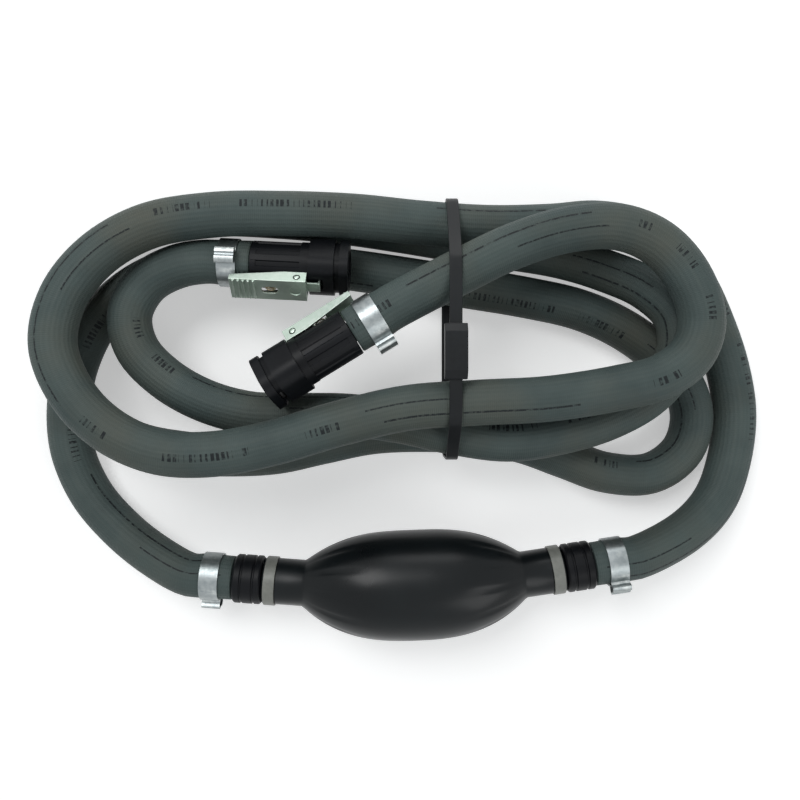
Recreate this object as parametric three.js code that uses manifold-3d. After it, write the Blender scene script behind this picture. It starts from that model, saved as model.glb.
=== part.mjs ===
// A marine outboard fuel line: two coiled hoses, a primer bulb with its check valves, ear clamps,
// two latching quick connectors and the cable tie that holds the coil. Millimetres, +Z up.
import * as THREE from 'three';
import { mergeVertices } from 'three/addons/utils/BufferGeometryUtils.js';
import Module from 'manifold-3d';

const wasm = await Module();
wasm.setup();

// ---- driving dimensions ----
const GAP = 0.3; // clearance between neighbouring pieces
const FLOOR_GAP = 0.3; // height of the lowest rubber above the surface it lies on
const FRAME_SHIFT = new THREE.Vector3(-1.2, 1.5, 0); // puts the origin under the middle of the assembly

const HOSE_OUTER = 17;
const HOSE_BORE = 9.5;
const HOSE_SIDES = 10;
const HOSE_STEP = 15; // length of one straight facet of the hose
const STRAIGHT_END = 18; // stretch of hose that stays straight on its barb

const CLAMP_WIDTH = 7.2;
const CLAMP_BAND = 0.6;
const CLAMP_SETBACK = 5; // from the hose's end to the band
const EAR_WIDTH = 6.6;
const EAR_HEIGHT = 3.4;
const EAR_SHOULDER = 0.8;
const OUTLET_EAR = -60; // degrees about the hose, from straight up
const INLET_EAR = 100;

const BARB_LENGTH = 14;
const BARB_TOOTH = 0.5; // how far each barb stands out of the stem
const BARB_COUNT = 3;
const PASSAGE = 4.4; // diameter of the fuel passage through every barb

const BULB_OUTER = 42.9;
const BULB_BODY = 87; // length of the swollen part
const BULB_LENGTH = 119; // length over the two necks
const BULB_WALL = 3.2;
const BULB_SWELL = 2.8; // exponent of the swollen outline
const NECK_OUTER = 18;
const NECK_BORE = 12.6;
const BULB_BEND_RADIUS = 415; // the soft bulb lies slightly bowed between its straight necks
const BULB_TILT = 2.2; // degrees about the vertical
const BULB_CENTRE = new THREE.Vector3(6.2, -69.7, BULB_OUTER / 2 + FLOOR_GAP);

const RING_WIDTH = 4.4;
const RING_THICK = 0.8;
const RING_GROOVE = 0.5;
const RING_SETBACK = 0.8;

const COLLAR_OUTER = 19;
const COLLAR_LENGTH = 11.5;
const COLLAR_CHAMFER = 0.8;
const SPIGOT_LENGTH = 13;
const VALVE_CHAMBER = 10.4; // diameter of the check disc's chamber
const VALVE_CHAMBER_LENGTH = 5;
const VALVE_CHAMBER_START = 2.5;
const VALVE_VENT = 6.4; // diameter of the way out past the open disc
const DISC_OUTER = 9;
const DISC_THICK = 1.4;
const DISC_NOTCH = 1.7; // radius of the four notches in the disc's rim

const HUB_OUTER = 18;
const HUB_LENGTH = 22;
const HUB_RIBS = 12;
const HUB_RIB_DEPTH = 0.5;
const HEAD_LENGTH = 15;
const HEAD_HALF_WIDTH = 9.8;
const HEAD_HALF_HEIGHT = 9.2;
const HEAD_CORNER = 6.4;
const HEAD_FLANGE = 3.4; // thickness of the plain flange at the mating face
const HEAD_NECK_DEPTH = 1.2; // how far the head is waisted behind its flange
const HEAD_GROOVE = 2; // width of that waist
const PORT_BORE = 9.6;
const PORT_DEPTH = 12;
const PORT_DROP = 2.6; // the port lies this far below the hose's axis, away from the lever
const SEAT_BORE = 6;
const SEAT_LENGTH = 2;
const POPPET_CHAMBER = 8.6;
const POPPET_HEAD = 7.6;
const POPPET_HEAD_LENGTH = 1.8;
const POPPET_NOSE = 4.4;
const POPPET_NOSE_LENGTH = 4.6;
const POPPET_SPRING_OUTER = 6.6;
const POPPET_SPRING_WIRE = 0.8;
const POPPET_SPRING_TURNS = 5;
const CHAMBER_BACK = 8; // where the poppet's chamber ends inside the hub
const O_RING_SECTION = 1.5;
const O_RING_INSET = 4; // from the mating face to the middle of the O-ring
const PIN_HOLE = 4.4;
const PIN_HOLE_RISE = 5;
const PIN_HOLE_DEPTH = 12;

const LEVER_WIDTH = 10.5;
const LEVER_SHEET = 0.8;
const LEVER_RISE = 4.2; // height of the lever's face above the hub
const LEVER_BACK = -7;
const LEVER_FRONT = 22;
const LEVER_WALL_TAIL = 2.4; // depth of the side walls at the thumb end
const LEVER_WALL_PIVOT = 5; // depth of the side walls at the pivot
const LEVER_WALL_STEP = 5; // the walls reach that depth this far behind the pivot
const LEVER_PIVOT_X = 18.4;
const LEVER_PIVOT_RISE = 1.8; // height of the pivot above the hub
const LEVER_PIN = 2;
const LEVER_RIDGES = 5;
const LEVER_RIDGE_PITCH = 1.9;
const LEVER_RIDGE_HEIGHT = 0.5;
const OVAL_HOLE_X = 8.1;
const OVAL_HOLE_LENGTH = 6.3;
const OVAL_HOLE_WIDTH = 3.4;
const DIMPLE = 4.4;
const DIMPLE_DEPTH = 0.3;
const DIMPLE_X = 17.8;
const HOOK_WIDTH = 4.4;
const HOOK_REACH = 5;
const HOOK_DIP = 2.4;
const HOOK_DROP = 1.4; // from the lever's underside down to the tongue
const LEVER_SPRING_OUTER = 4.6;
const LEVER_SPRING_WIRE = 0.7;
const LEVER_SPRING_TURNS = 3;
const SPRING_SEAT = 0.5; // depth of the spring's seat in the hub
const BOSS_FLARE = 0.6; // how far the pivot lug's foot spreads past its top

const TIE_X = 20.7;
const TIE_WIDTH = 4.6;
const TIE_THICK = 1.2;
const TIE_HEAD_LENGTH = 20;
const TIE_HEAD_WIDTH = 8.2;
const TIE_HEAD_HEIGHT = 5.4;
const TIE_HEAD_Y = 21;
const TIE_HEAD_SINK = 1; // the head's root inside the strap
const TIE_HEAD_TAPER = 3;

// Each connector: where its hose ends, the way it points along the floor, and its roll about its own axis.
const CONNECTOR_A = { at: [-17.3, 28.6, 44], heading: 211.5, roll: -120, ear: 80 };
const CONNECTOR_B = { at: [-56.3, 56.5, 28.4], heading: -2.8, roll: -55, ear: 6 };

// Hose A leaves connector A, makes the top turn of the coil and comes down to the bulb's outlet.
const ROUTE_A = [
  [23, 51, 44], [43, 60.5, 44], [63, 66.5, 44], [81, 67.5, 44], [96, 61.5, 44], [107, 49, 44],
  [112, 33.5, 44], [108.5, 21, 44], [98, 12.5, 44], [81, 8, 44], [55, 4, 44], [29, 2.6, 44],
  [3, 0.6, 44], [-23, -5.4, 44], [-47, -12.4, 44], [-69, -16.4, 44], [-89, -15.4, 44],
  [-107, -7.4, 44], [-120, 5.6, 44], [-127.3, 23.6, 44], [-124.3, 41.6, 42.5], [-113, 57.6, 40],
  [-95, 69, 37.5], [-71, 74, 35], [-45, 75, 33], [-17, 74.6, 30.5], [9, 72.6, 28], [35, 71, 27.5],
  [59, 71.6, 27], [78, 73.6, 24], [96, 71.6, 18.5], [111, 63.6, 13], [122, 51.6, 10],
  [130, 35.6, 8.8], [136, 17.6, 8.8], [139, -1.4, 8.8], [137, -20.4, 8.8], [130, -37, 11.5],
  [117, -49, 16],
];

// Hose B leaves the bulb's inlet, runs along the floor, doubles back twice and rises to connector B.
const ROUTE_B = [
  [-98, -59, 17.5], [-113.5, -49, 12], [-127, -35, 9], [-134.8, -17.4, 8.8], [-136.3, 1.6, 8.8],
  [-132.3, 20.6, 8.8], [-123.3, 37.6, 8.8], [-109.3, 50.6, 8.8], [-91.3, 58.6, 8.8],
  [-69.3, 61, 8.8], [-45.3, 60, 8.8], [-21.3, 57.6, 9], [2.7, 54, 10], [27.7, 50, 10],
  [52.7, 46, 9], [74.7, 41, 8.8], [92.7, 33, 8.8], [107.7, 22, 8.8], [118.5, 8.5, 8.8],
  [121.4, -4.6, 8.8], [117.2, -17.6, 8.8], [104.5, -26.6, 8.8], [86, -26.4, 8.8],
  [68.7, -20.4, 8.8], [50.7, -14, 9.2], [30.7, -10.4, 10], [8.7, -9.4, 10], [-11.3, -10.4, 10],
  [-31.3, -14.4, 11], [-49.3, -18, 15], [-67.3, -18.4, 21], [-85.3, -17, 26], [-102.3, -13.4, 26.8],
  [-117.3, -5.4, 26.8], [-128.3, 6.6, 26.8], [-134.3, 23.6, 26.8], [-133.3, 41.6, 24],
  [-125.3, 57.6, 19.5], [-112.3, 69.6, 14.5], [-95.3, 77.6, 10], [-75.3, 80, 8.8],
  [-49.3, 79, 8.8], [-23.3, 76.6, 8.8], [2.7, 72.6, 10], [26.7, 68.6, 10], [48.7, 65.6, 9],
  [66.7, 62, 11.5], [83.7, 56, 15.8], [99.5, 47.5, 21], [109.2, 35.6, 25.5], [109, 19.6, 26.5],
  [98.7, 6, 26.5], [82.7, -3.4, 26.5], [62.7, -9.4, 27], [42.7, -12, 27.5], [21.7, -9.4, 27.5],
  [0.7, -4.9, 27], [-19.3, -2.4, 26.5], [-39.3, -2, 26.5], [-58.3, -1.4, 26.5],
  [-76.3, 3.6, 26.5], [-91.8, 12.6, 26.5], [-102.3, 24, 26.5], [-105, 37, 26.6], [-98.5, 49, 27],
  [-86, 55.6, 28],
];

// ---- materials ----
const finishes = {
  hose: { color: 0x566160, roughness: 0.7, metalness: 0 },
  bulb: { color: 0x15191b, roughness: 0.3, metalness: 0 },
  plastic: { color: 0x141619, roughness: 0.4, metalness: 0 },
  seal: { color: 0x1c1d1f, roughness: 0.8, metalness: 0 },
  valve: { color: 0xd8d8d0, roughness: 0.5, metalness: 0 },
  ring: { color: 0x8f8a80, roughness: 0.5, metalness: 0 },
  stainless: { color: 0xa9aeb2, roughness: 0.35, metalness: 1 },
  plated: { color: 0xc3c8c2, roughness: 0.3, metalness: 1 },
};
const materials = Object.fromEntries(
  Object.entries(finishes).map(([name, look]) => [name, new THREE.MeshStandardMaterial(look)]),
);

// ---- solids ----
function solid(geometry) {
  const bare = geometry.clone();
  bare.deleteAttribute('normal');
  bare.deleteAttribute('uv');
  const merged = mergeVertices(bare, 1e-4);
  const index = merged.index.array;
  const kept = [];
  for (let i = 0; i < index.length; i += 3) {
    const [a, b, c] = [index[i], index[i + 1], index[i + 2]];
    if (a !== b && b !== c && c !== a) kept.push(a, b, c);
  }
  const positions = merged.attributes.position.array;
  const corner = (n) => new THREE.Vector3().fromArray(positions, 3 * n);
  let volume = 0;
  for (let i = 0; i < kept.length; i += 3) {
    volume += corner(kept[i]).dot(corner(kept[i + 1]).cross(corner(kept[i + 2])));
  }
  if (volume < 0) kept.reverse();
  const mesh = new wasm.Mesh({
    numProp: 3,
    vertProperties: new Float32Array(positions),
    triVerts: new Uint32Array(kept),
  });
  return new wasm.Manifold(mesh);
}

function surface(shape) {
  const mesh = shape.getMesh();
  const geometry = new THREE.BufferGeometry();
  geometry.setAttribute('position', new THREE.BufferAttribute(mesh.vertProperties, 3));
  geometry.setIndex(new THREE.BufferAttribute(mesh.triVerts, 1));
  geometry.computeVertexNormals();
  return geometry;
}

function named(name, shape, material) {
  const mesh = new THREE.Mesh(surface(shape), materials[material]);
  mesh.name = name;
  return mesh;
}

function add(base, ...others) {
  return others.reduce((joined, other) => joined.add(other), base);
}

function cut(base, ...others) {
  return others.reduce((left, other) => left.subtract(other), base);
}

// ---- shape helpers: x runs along the piece, y across it, z up ----
function rod(radius, start, end, y = 0, z = 0, sides = 16) {
  const geometry = new THREE.CylinderGeometry(radius, radius, end - start, sides);
  geometry.rotateZ(-Math.PI / 2);
  geometry.translate((start + end) / 2, y, z);
  return solid(geometry);
}

function crossRod(radius, width, x, z, sides = 16) {
  const geometry = new THREE.CylinderGeometry(radius, radius, width, sides);
  geometry.translate(x, 0, z);
  return solid(geometry);
}

function upRod(radius, x, bottom, top, sides = 20) {
  const geometry = new THREE.CylinderGeometry(radius, radius, top - bottom, sides);
  geometry.rotateX(Math.PI / 2);
  geometry.translate(x, 0, (bottom + top) / 2);
  return solid(geometry);
}

function block(x0, x1, width, z0, z1) {
  const geometry = new THREE.BoxGeometry(x1 - x0, width, z1 - z0);
  geometry.translate((x0 + x1) / 2, 0, (z0 + z1) / 2);
  return solid(geometry);
}

// A lathe about the x axis: the profile holds [x, radius] pairs.
function turned(profile, segments = 18) {
  const points = profile.map(([x, radius]) => new THREE.Vector2(radius, x));
  const geometry = new THREE.LatheGeometry(points, segments);
  geometry.rotateZ(-Math.PI / 2);
  return solid(geometry);
}

// An outline in x and z, as thick as width and centred across.
function sheet(outline, width) {
  const shape = new THREE.Shape(outline.map(([x, z]) => new THREE.Vector2(x, z)));
  const geometry = new THREE.ExtrudeGeometry(shape, { depth: width, bevelEnabled: false });
  geometry.rotateX(Math.PI / 2);
  geometry.translate(0, width / 2, 0);
  return solid(geometry);
}

// An outline in y and z, pushed along x from start to end.
function pushed(shape, start, end, curveSegments = 6) {
  const options = { depth: end - start, bevelEnabled: false, curveSegments };
  const geometry = new THREE.ExtrudeGeometry(shape, options);
  const axes = new THREE.Matrix4().makeBasis(
    new THREE.Vector3(0, 1, 0),
    new THREE.Vector3(0, 0, 1),
    new THREE.Vector3(1, 0, 0),
  );
  geometry.applyMatrix4(axes);
  geometry.translate(start, 0, 0);
  return solid(geometry);
}

function circlePoints(radius, sides, phase = 0) {
  return Array.from({ length: sides }, (_, i) => {
    const angle = phase + (2 * Math.PI * i) / sides;
    return new THREE.Vector2(radius * Math.cos(angle), radius * Math.sin(angle));
  });
}

function roundedBox(halfWidth, halfHeight, corner) {
  const shape = new THREE.Shape();
  const [w, h, r] = [halfWidth, halfHeight, corner];
  shape.absarc(w - r, h - r, r, 0, Math.PI / 2);
  shape.absarc(r - w, h - r, r, Math.PI / 2, Math.PI);
  shape.absarc(r - w, r - h, r, Math.PI, 1.5 * Math.PI);
  shape.absarc(w - r, r - h, r, 1.5 * Math.PI, 2 * Math.PI);
  return shape;
}

class Helix extends THREE.Curve {
  constructor(radius, height, turns) {
    super();
    Object.assign(this, { radius, height, turns });
  }

  getPoint(t, target = new THREE.Vector3()) {
    const angle = 2 * Math.PI * this.turns * t;
    return target.set(this.radius * Math.cos(angle), this.radius * Math.sin(angle), this.height * t);
  }
}

// A coil spring standing on z = 0, as high as length over its wire.
function spring(outer, wire, turns, length) {
  const curve = new Helix((outer - wire) / 2, length - wire, turns);
  const section = new THREE.Shape(circlePoints(wire / 2, 6));
  const options = { steps: 9 * turns, extrudePath: curve, bevelEnabled: false };
  const geometry = new THREE.ExtrudeGeometry(section, options);
  geometry.translate(0, 0, wire / 2);
  return geometry;
}

// The hollow stem and teeth that a hose is pushed over, from x = start towards -x.
function barbProfile(start) {
  const tip = HOSE_BORE / 2 - GAP;
  const stem = tip - BARB_TOOTH;
  const pitch = BARB_LENGTH / (BARB_COUNT + 0.5);
  const profile = [[start, stem]];
  for (let i = 1; i <= BARB_COUNT; i += 1) {
    const ridge = start - pitch * i;
    profile.push([ridge + 0.4, stem], [ridge, tip], [ridge - pitch * 0.7, stem]);
  }
  profile.push([start - BARB_LENGTH, stem - 0.3]);
  return profile;
}

// ---- placing ----
function atConnector({ at, heading, roll }) {
  const along = new THREE.Vector3(1, 0, 0).applyAxisAngle(
    new THREE.Vector3(0, 0, 1),
    THREE.MathUtils.degToRad(heading),
  );
  const up = new THREE.Vector3(0, 0, 1).applyAxisAngle(along, -THREE.MathUtils.degToRad(roll));
  const across = up.clone().cross(along);
  const group = new THREE.Group();
  group.position.fromArray(at);
  group.quaternion.setFromRotationMatrix(new THREE.Matrix4().makeBasis(along, across, up));
  group.updateMatrixWorld(true);
  return group;
}

// The bulb's centre line in the floor's plane: an arc between the valves' spigots, straight along them.
function bowAt(x) {
  const half = BULB_LENGTH / 2 - SPIGOT_LENGTH;
  const angle = THREE.MathUtils.clamp(x, -half, half) / BULB_BEND_RADIUS;
  const beyond = x - angle * BULB_BEND_RADIUS;
  return {
    angle,
    x: BULB_BEND_RADIUS * Math.sin(angle) + beyond * Math.cos(angle),
    y: BULB_BEND_RADIUS * (1 - Math.cos(angle)) + beyond * Math.sin(angle),
  };
}

function atNeck(side) {
  const bulb = new THREE.Group();
  bulb.position.copy(BULB_CENTRE);
  bulb.rotation.z = THREE.MathUtils.degToRad(BULB_TILT);
  const neck = new THREE.Group();
  const rim = bowAt((side * BULB_LENGTH) / 2);
  neck.position.set(rim.x, rim.y, 0);
  neck.rotation.z = rim.angle + (side < 0 ? Math.PI : 0);
  bulb.add(neck);
  bulb.updateMatrixWorld(true);
  return neck;
}

// ---- hoses ----
const necks = { outlet: atNeck(1), inlet: atNeck(-1) };
const connectors = { a: atConnector(CONNECTOR_A), b: atConnector(CONNECTOR_B) };
const barbFace = COLLAR_LENGTH + GAP; // where the hose ends, outward from the neck's rim

function endPoints(frame, face, outward) {
  const distances = [face, face + outward * STRAIGHT_END * 0.67, face + outward * STRAIGHT_END];
  return distances.map((x) => new THREE.Vector3(x, 0, 0).applyMatrix4(frame.matrixWorld));
}

function hoseCurve(first, route, last) {
  const middle = route.map((point) => new THREE.Vector3().fromArray(point));
  return new THREE.CatmullRomCurve3([...first, ...middle, ...last.reverse()], false, 'centripetal');
}

const curveA = hoseCurve(
  endPoints(connectors.a, -GAP, -1),
  ROUTE_A,
  endPoints(necks.outlet, barbFace, 1),
);
const curveB = hoseCurve(
  endPoints(necks.inlet, barbFace, 1),
  ROUTE_B,
  endPoints(connectors.b, -GAP, -1),
);

function socketAt(frame, face, outward) {
  const radius = HOSE_BORE / 2;
  const geometry = new THREE.CylinderGeometry(radius, radius, BARB_LENGTH + 2, 12);
  geometry.rotateZ(-Math.PI / 2);
  geometry.translate(face + (outward * BARB_LENGTH) / 2, 0, 0);
  geometry.applyMatrix4(frame.matrixWorld);
  return solid(geometry);
}

function hose(name, curve, sockets) {
  const section = new THREE.Shape(circlePoints(HOSE_OUTER / 2, HOSE_SIDES, Math.PI / HOSE_SIDES));
  const steps = Math.round(curve.getLength() / HOSE_STEP);
  const geometry = new THREE.ExtrudeGeometry(section, {
    steps,
    extrudePath: curve,
    bevelEnabled: false,
  });
  return named(name, cut(solid(geometry), ...sockets), 'hose');
}

// ---- ear clamps, around the hose with their band from x = 0 to CLAMP_WIDTH ----
function earOutline(radius, halfWidth, top) {
  const shape = new THREE.Shape();
  const angle = Math.asin(halfWidth / radius);
  shape.absarc(0, 0, radius, Math.PI / 2 + angle, Math.PI / 2 - angle + 2 * Math.PI);
  shape.lineTo(halfWidth, top - EAR_SHOULDER);
  shape.lineTo(halfWidth - EAR_SHOULDER, top);
  shape.lineTo(EAR_SHOULDER - halfWidth, top);
  shape.lineTo(-halfWidth, top - EAR_SHOULDER);
  return shape;
}

function clamp(name, earAngle) {
  const inner = HOSE_OUTER / 2 + GAP;
  const outer = inner + CLAMP_BAND;
  const outside = pushed(earOutline(outer, EAR_WIDTH / 2, outer + EAR_HEIGHT), 0, CLAMP_WIDTH, 12);
  const hollow = earOutline(inner, EAR_WIDTH / 2 - CLAMP_BAND, outer + EAR_HEIGHT - CLAMP_BAND);
  const mesh = named(name, cut(outside, pushed(hollow, -1, CLAMP_WIDTH + 1, 12)), 'stainless');
  mesh.rotation.x = -THREE.MathUtils.degToRad(earAngle);
  return mesh;
}

// ---- the primer bulb and its valves ----
function bulbRadius(x) {
  const part = Math.min(1, Math.abs(x) / (BULB_BODY / 2));
  return NECK_OUTER / 2 + ((BULB_OUTER - NECK_OUTER) / 2) * (1 - part ** BULB_SWELL);
}

function bulb() {
  const half = BULB_LENGTH / 2;
  const grooveEnd = half - RING_SETBACK + GAP;
  const grooveStart = grooveEnd - RING_WIDTH - 2 * GAP;
  const groove = NECK_OUTER / 2 - RING_GROOVE;
  const swell = Array.from({ length: 13 }, (_, i) => (i / 6 - 1) * (BULB_BODY / 2));
  const neckOutside = [
    [grooveStart, NECK_OUTER / 2],
    [grooveStart, groove],
    [grooveEnd, groove],
    [grooveEnd, NECK_OUTER / 2],
    [half, NECK_OUTER / 2],
  ];
  const mirrored = neckOutside.map(([x, radius]) => [-x, radius]).reverse();
  const outside = [...mirrored, ...swell.map((x) => [x, bulbRadius(x)]), ...neckOutside];
  const inside = swell.map((x) => {
    const squeezed = x * (1 - (2 * BULB_WALL) / BULB_BODY);
    return [squeezed, Math.max(NECK_BORE / 2, bulbRadius(x) - BULB_WALL)];
  });
  const bore = [[-half, NECK_BORE / 2], ...inside, [half, NECK_BORE / 2]];
  const profile = [...outside, ...bore.reverse(), outside[0]];
  const points = profile.map(([x, radius]) => new THREE.Vector2(radius, x));
  const geometry = new THREE.LatheGeometry(points, 20);
  geometry.rotateZ(-Math.PI / 2);
  bend(geometry);
  const mesh = named('primer_bulb', solid(geometry), 'bulb');
  mesh.position.copy(BULB_CENTRE);
  mesh.rotation.z = THREE.MathUtils.degToRad(BULB_TILT);
  return mesh;
}

// Bows a shape that lies along x.
function bend(geometry) {
  const position = geometry.attributes.position;
  for (let i = 0; i < position.count; i += 1) {
    const centre = bowAt(position.getX(i));
    const across = position.getY(i);
    position.setX(i, centre.x - across * Math.sin(centre.angle));
    position.setY(i, centre.y + across * Math.cos(centre.angle));
  }
}

// A check-valve body: spigot in the neck, collar against its rim, barb for the hose. x = 0 is the rim.
function valveBody(name, seatOutward) {
  const spigot = NECK_BORE / 2 - GAP;
  const barb = barbProfile(0).map(([x, radius]) => [COLLAR_LENGTH - x, radius]);
  const collar = COLLAR_OUTER / 2;
  const profile = [
    [-SPIGOT_LENGTH, 0],
    [-SPIGOT_LENGTH, spigot],
    [GAP, spigot],
    [GAP, collar - COLLAR_CHAMFER],
    [GAP + COLLAR_CHAMFER, collar],
    [COLLAR_LENGTH - COLLAR_CHAMFER, collar],
    [COLLAR_LENGTH, collar - COLLAR_CHAMFER],
    ...barb,
    [COLLAR_LENGTH + BARB_LENGTH, 0],
  ];
  const chamberEnd = VALVE_CHAMBER_START + VALVE_CHAMBER_LENGTH;
  const outwardBore = (seatOutward ? PASSAGE : VALVE_VENT) / 2;
  const inwardBore = (seatOutward ? VALVE_VENT : PASSAGE) / 2;
  const hollow = add(
    rod(VALVE_CHAMBER / 2, VALVE_CHAMBER_START, chamberEnd),
    rod(outwardBore, chamberEnd - 1, COLLAR_LENGTH + BARB_LENGTH + 1),
    rod(inwardBore, -SPIGOT_LENGTH - 1, VALVE_CHAMBER_START + 1),
  );
  return named(name, cut(turned(profile), hollow), 'plastic');
}

// The check disc, closed against its seat.
function valveDisc(name, seatOutward) {
  const chamberEnd = VALVE_CHAMBER_START + VALVE_CHAMBER_LENGTH;
  const start = seatOutward ? chamberEnd - GAP - DISC_THICK : VALVE_CHAMBER_START + GAP;
  const disc = rod(DISC_OUTER / 2, start, start + DISC_THICK);
  const notches = circlePoints(DISC_OUTER / 2, 4).map(({ x, y }) =>
    rod(DISC_NOTCH, start - 1, start + DISC_THICK + 1, x, y, 12),
  );
  return named(name, cut(disc, ...notches), 'valve');
}

function neckRing(name) {
  const inner = NECK_OUTER / 2 - RING_GROOVE + GAP;
  const end = -RING_SETBACK;
  const start = end - RING_WIDTH;
  const profile = [
    [start, inner],
    [start, inner + RING_THICK],
    [end, inner + RING_THICK],
    [end, inner],
    [start, inner],
  ];
  return named(name, turned(profile, 28), 'ring');
}

function dressNeck(neck, label, seatOutward, earAngle) {
  const hoseClamp = clamp(`clamp_${label}`, earAngle);
  hoseClamp.position.x = barbFace + CLAMP_SETBACK;
  neck.add(
    valveBody(`${label}_valve_body`, seatOutward),
    valveDisc(`${label}_check_disc`, seatOutward),
    neckRing(`${label}_neck_ring`),
    hoseClamp,
  );
}

// ---- quick connectors: x = 0 is the hub's back, +x leads to the mating face, +z to the lever ----
const headStart = HUB_LENGTH + GAP;
const headEnd = headStart + HEAD_LENGTH;
const portFloor = headEnd - PORT_DEPTH;
const seatBack = portFloor - SEAT_LENGTH;
const leverTop = HUB_OUTER / 2 + LEVER_RISE;
const pivotHeight = HUB_OUTER / 2 + LEVER_PIVOT_RISE;
const hookTop = leverTop - LEVER_SHEET - HOOK_DROP;
const hubTop = HUB_OUTER / 2 - HUB_RIB_DEPTH;

function hubSection() {
  const points = circlePoints(HUB_OUTER / 2, 4 * HUB_RIBS).map((point, i) => {
    const inRib = i % 4 < 2;
    return inRib ? point : point.multiplyScalar(1 - HUB_RIB_DEPTH / (HUB_OUTER / 2));
  });
  return new THREE.Shape(points);
}

function connectorBody(name) {
  const barb = barbProfile(0).reverse();
  const tail = turned([[-BARB_LENGTH, 0], ...barb, [1, HOSE_BORE / 2 - GAP - BARB_TOOTH], [1, 0]], 16);
  const hub = pushed(hubSection(), 0, headStart + 1);
  const flangeStart = headEnd - HEAD_FLANGE;
  const flange = roundedBox(HEAD_HALF_WIDTH, HEAD_HALF_HEIGHT, HEAD_CORNER);
  const waistWidth = HEAD_HALF_WIDTH - HEAD_NECK_DEPTH;
  const waistHeight = HEAD_HALF_HEIGHT - HEAD_NECK_DEPTH;
  const waist = roundedBox(waistWidth, waistHeight, HEAD_CORNER - HEAD_NECK_DEPTH);
  const head = add(
    pushed(flange, flangeStart, headEnd),
    pushed(waist, flangeStart - HEAD_GROOVE - 0.5, flangeStart + 0.5),
    pushed(flange, headStart, flangeStart - HEAD_GROOVE),
  );
  const pivotBoss = bossSolid();
  const portHollow = add(
    rod(PORT_BORE / 2, portFloor, headEnd + 1, 0, -PORT_DROP),
    rod(SEAT_BORE / 2, seatBack - 0.5, portFloor + 0.5, 0, -PORT_DROP),
    rod(POPPET_CHAMBER / 2, CHAMBER_BACK, seatBack, 0, -PORT_DROP),
    rod(PASSAGE / 2, -BARB_LENGTH - 1, CHAMBER_BACK + 1),
    oRingGroove(),
  );
  const pinHole = rod(PIN_HOLE / 2, headEnd - PIN_HOLE_DEPTH, headEnd + 1, 0, PIN_HOLE_RISE);
  const hookRoom = 2 * GAP + HOOK_WIDTH;
  const slotFloor = hookTop - LEVER_SHEET - HOOK_DIP - GAP;
  const slot = block(headStart - 1, LEVER_FRONT + HOOK_REACH + 3 * GAP, hookRoom, slotFloor, leverTop);
  const leverRoom = block(headStart - 1, headStart, LEVER_WIDTH + 2 * GAP, hubTop, leverTop);
  const springSeat = upRod(LEVER_SPRING_OUTER / 2 + GAP, OVAL_HOLE_X, hubTop - SPRING_SEAT, leverTop);
  const pinBore = crossRod(LEVER_PIN / 2 + GAP, LEVER_WIDTH, LEVER_PIVOT_X, pivotHeight);
  const whole = add(tail, hub, head, pivotBoss);
  return named(
    name,
    cut(whole, portHollow, pinHole, slot, leverRoom, springSeat, pinBore),
    'plastic',
  );
}

// The lug between the lever's walls that carries the pivot pin.
function bossSolid() {
  const width = LEVER_WIDTH - 2 * LEVER_SHEET - 2 * GAP;
  const reach = leverTop - LEVER_SHEET - pivotHeight - 2 * GAP;
  const foot = LEVER_PIN + BOSS_FLARE;
  return sheet(
    [
      [LEVER_PIVOT_X - foot, hubTop - 3],
      [LEVER_PIVOT_X + foot, hubTop - 3],
      [LEVER_PIVOT_X + foot, hubTop + 0.4],
      [LEVER_PIVOT_X + LEVER_PIN, pivotHeight + reach],
      [LEVER_PIVOT_X - LEVER_PIN, pivotHeight + reach],
      [LEVER_PIVOT_X - foot, hubTop + 0.4],
    ],
    width,
  );
}

function oRingGroove() {
  const radius = PORT_BORE / 2 + O_RING_SECTION / 2 + GAP;
  const middle = headEnd - O_RING_INSET;
  const half = O_RING_SECTION / 2 + GAP;
  return rod(radius, middle - half, middle + half, 0, -PORT_DROP, 20);
}

function oRing(name) {
  const geometry = new THREE.TorusGeometry(PORT_BORE / 2, O_RING_SECTION / 2, 8, 20);
  geometry.rotateY(Math.PI / 2);
  geometry.translate(headEnd - O_RING_INSET, 0, -PORT_DROP);
  return named(name, solid(geometry), 'seal');
}

function poppet(name) {
  const front = seatBack - GAP;
  const back = front - POPPET_HEAD_LENGTH;
  const head = rod(POPPET_HEAD / 2, back, front, 0, -PORT_DROP);
  const nose = rod(POPPET_NOSE / 2, back + 0.5, front + POPPET_NOSE_LENGTH, 0, -PORT_DROP, 14);
  return named(name, add(head, nose), 'valve');
}

function poppetSpring(name) {
  const back = CHAMBER_BACK + GAP;
  const length = seatBack - GAP - POPPET_HEAD_LENGTH - GAP - back;
  const geometry = spring(POPPET_SPRING_OUTER, POPPET_SPRING_WIRE, POPPET_SPRING_TURNS, length);
  geometry.rotateY(Math.PI / 2);
  geometry.translate(back, 0, -PORT_DROP);
  return named(name, solid(geometry), 'plated');
}

function leverSpring(name) {
  const foot = hubTop - SPRING_SEAT + GAP;
  const length = leverTop - LEVER_SHEET - GAP - foot;
  const geometry = spring(LEVER_SPRING_OUTER, LEVER_SPRING_WIRE, LEVER_SPRING_TURNS, length);
  geometry.translate(OVAL_HOLE_X, 0, foot);
  return named(name, solid(geometry), 'plated');
}

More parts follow.
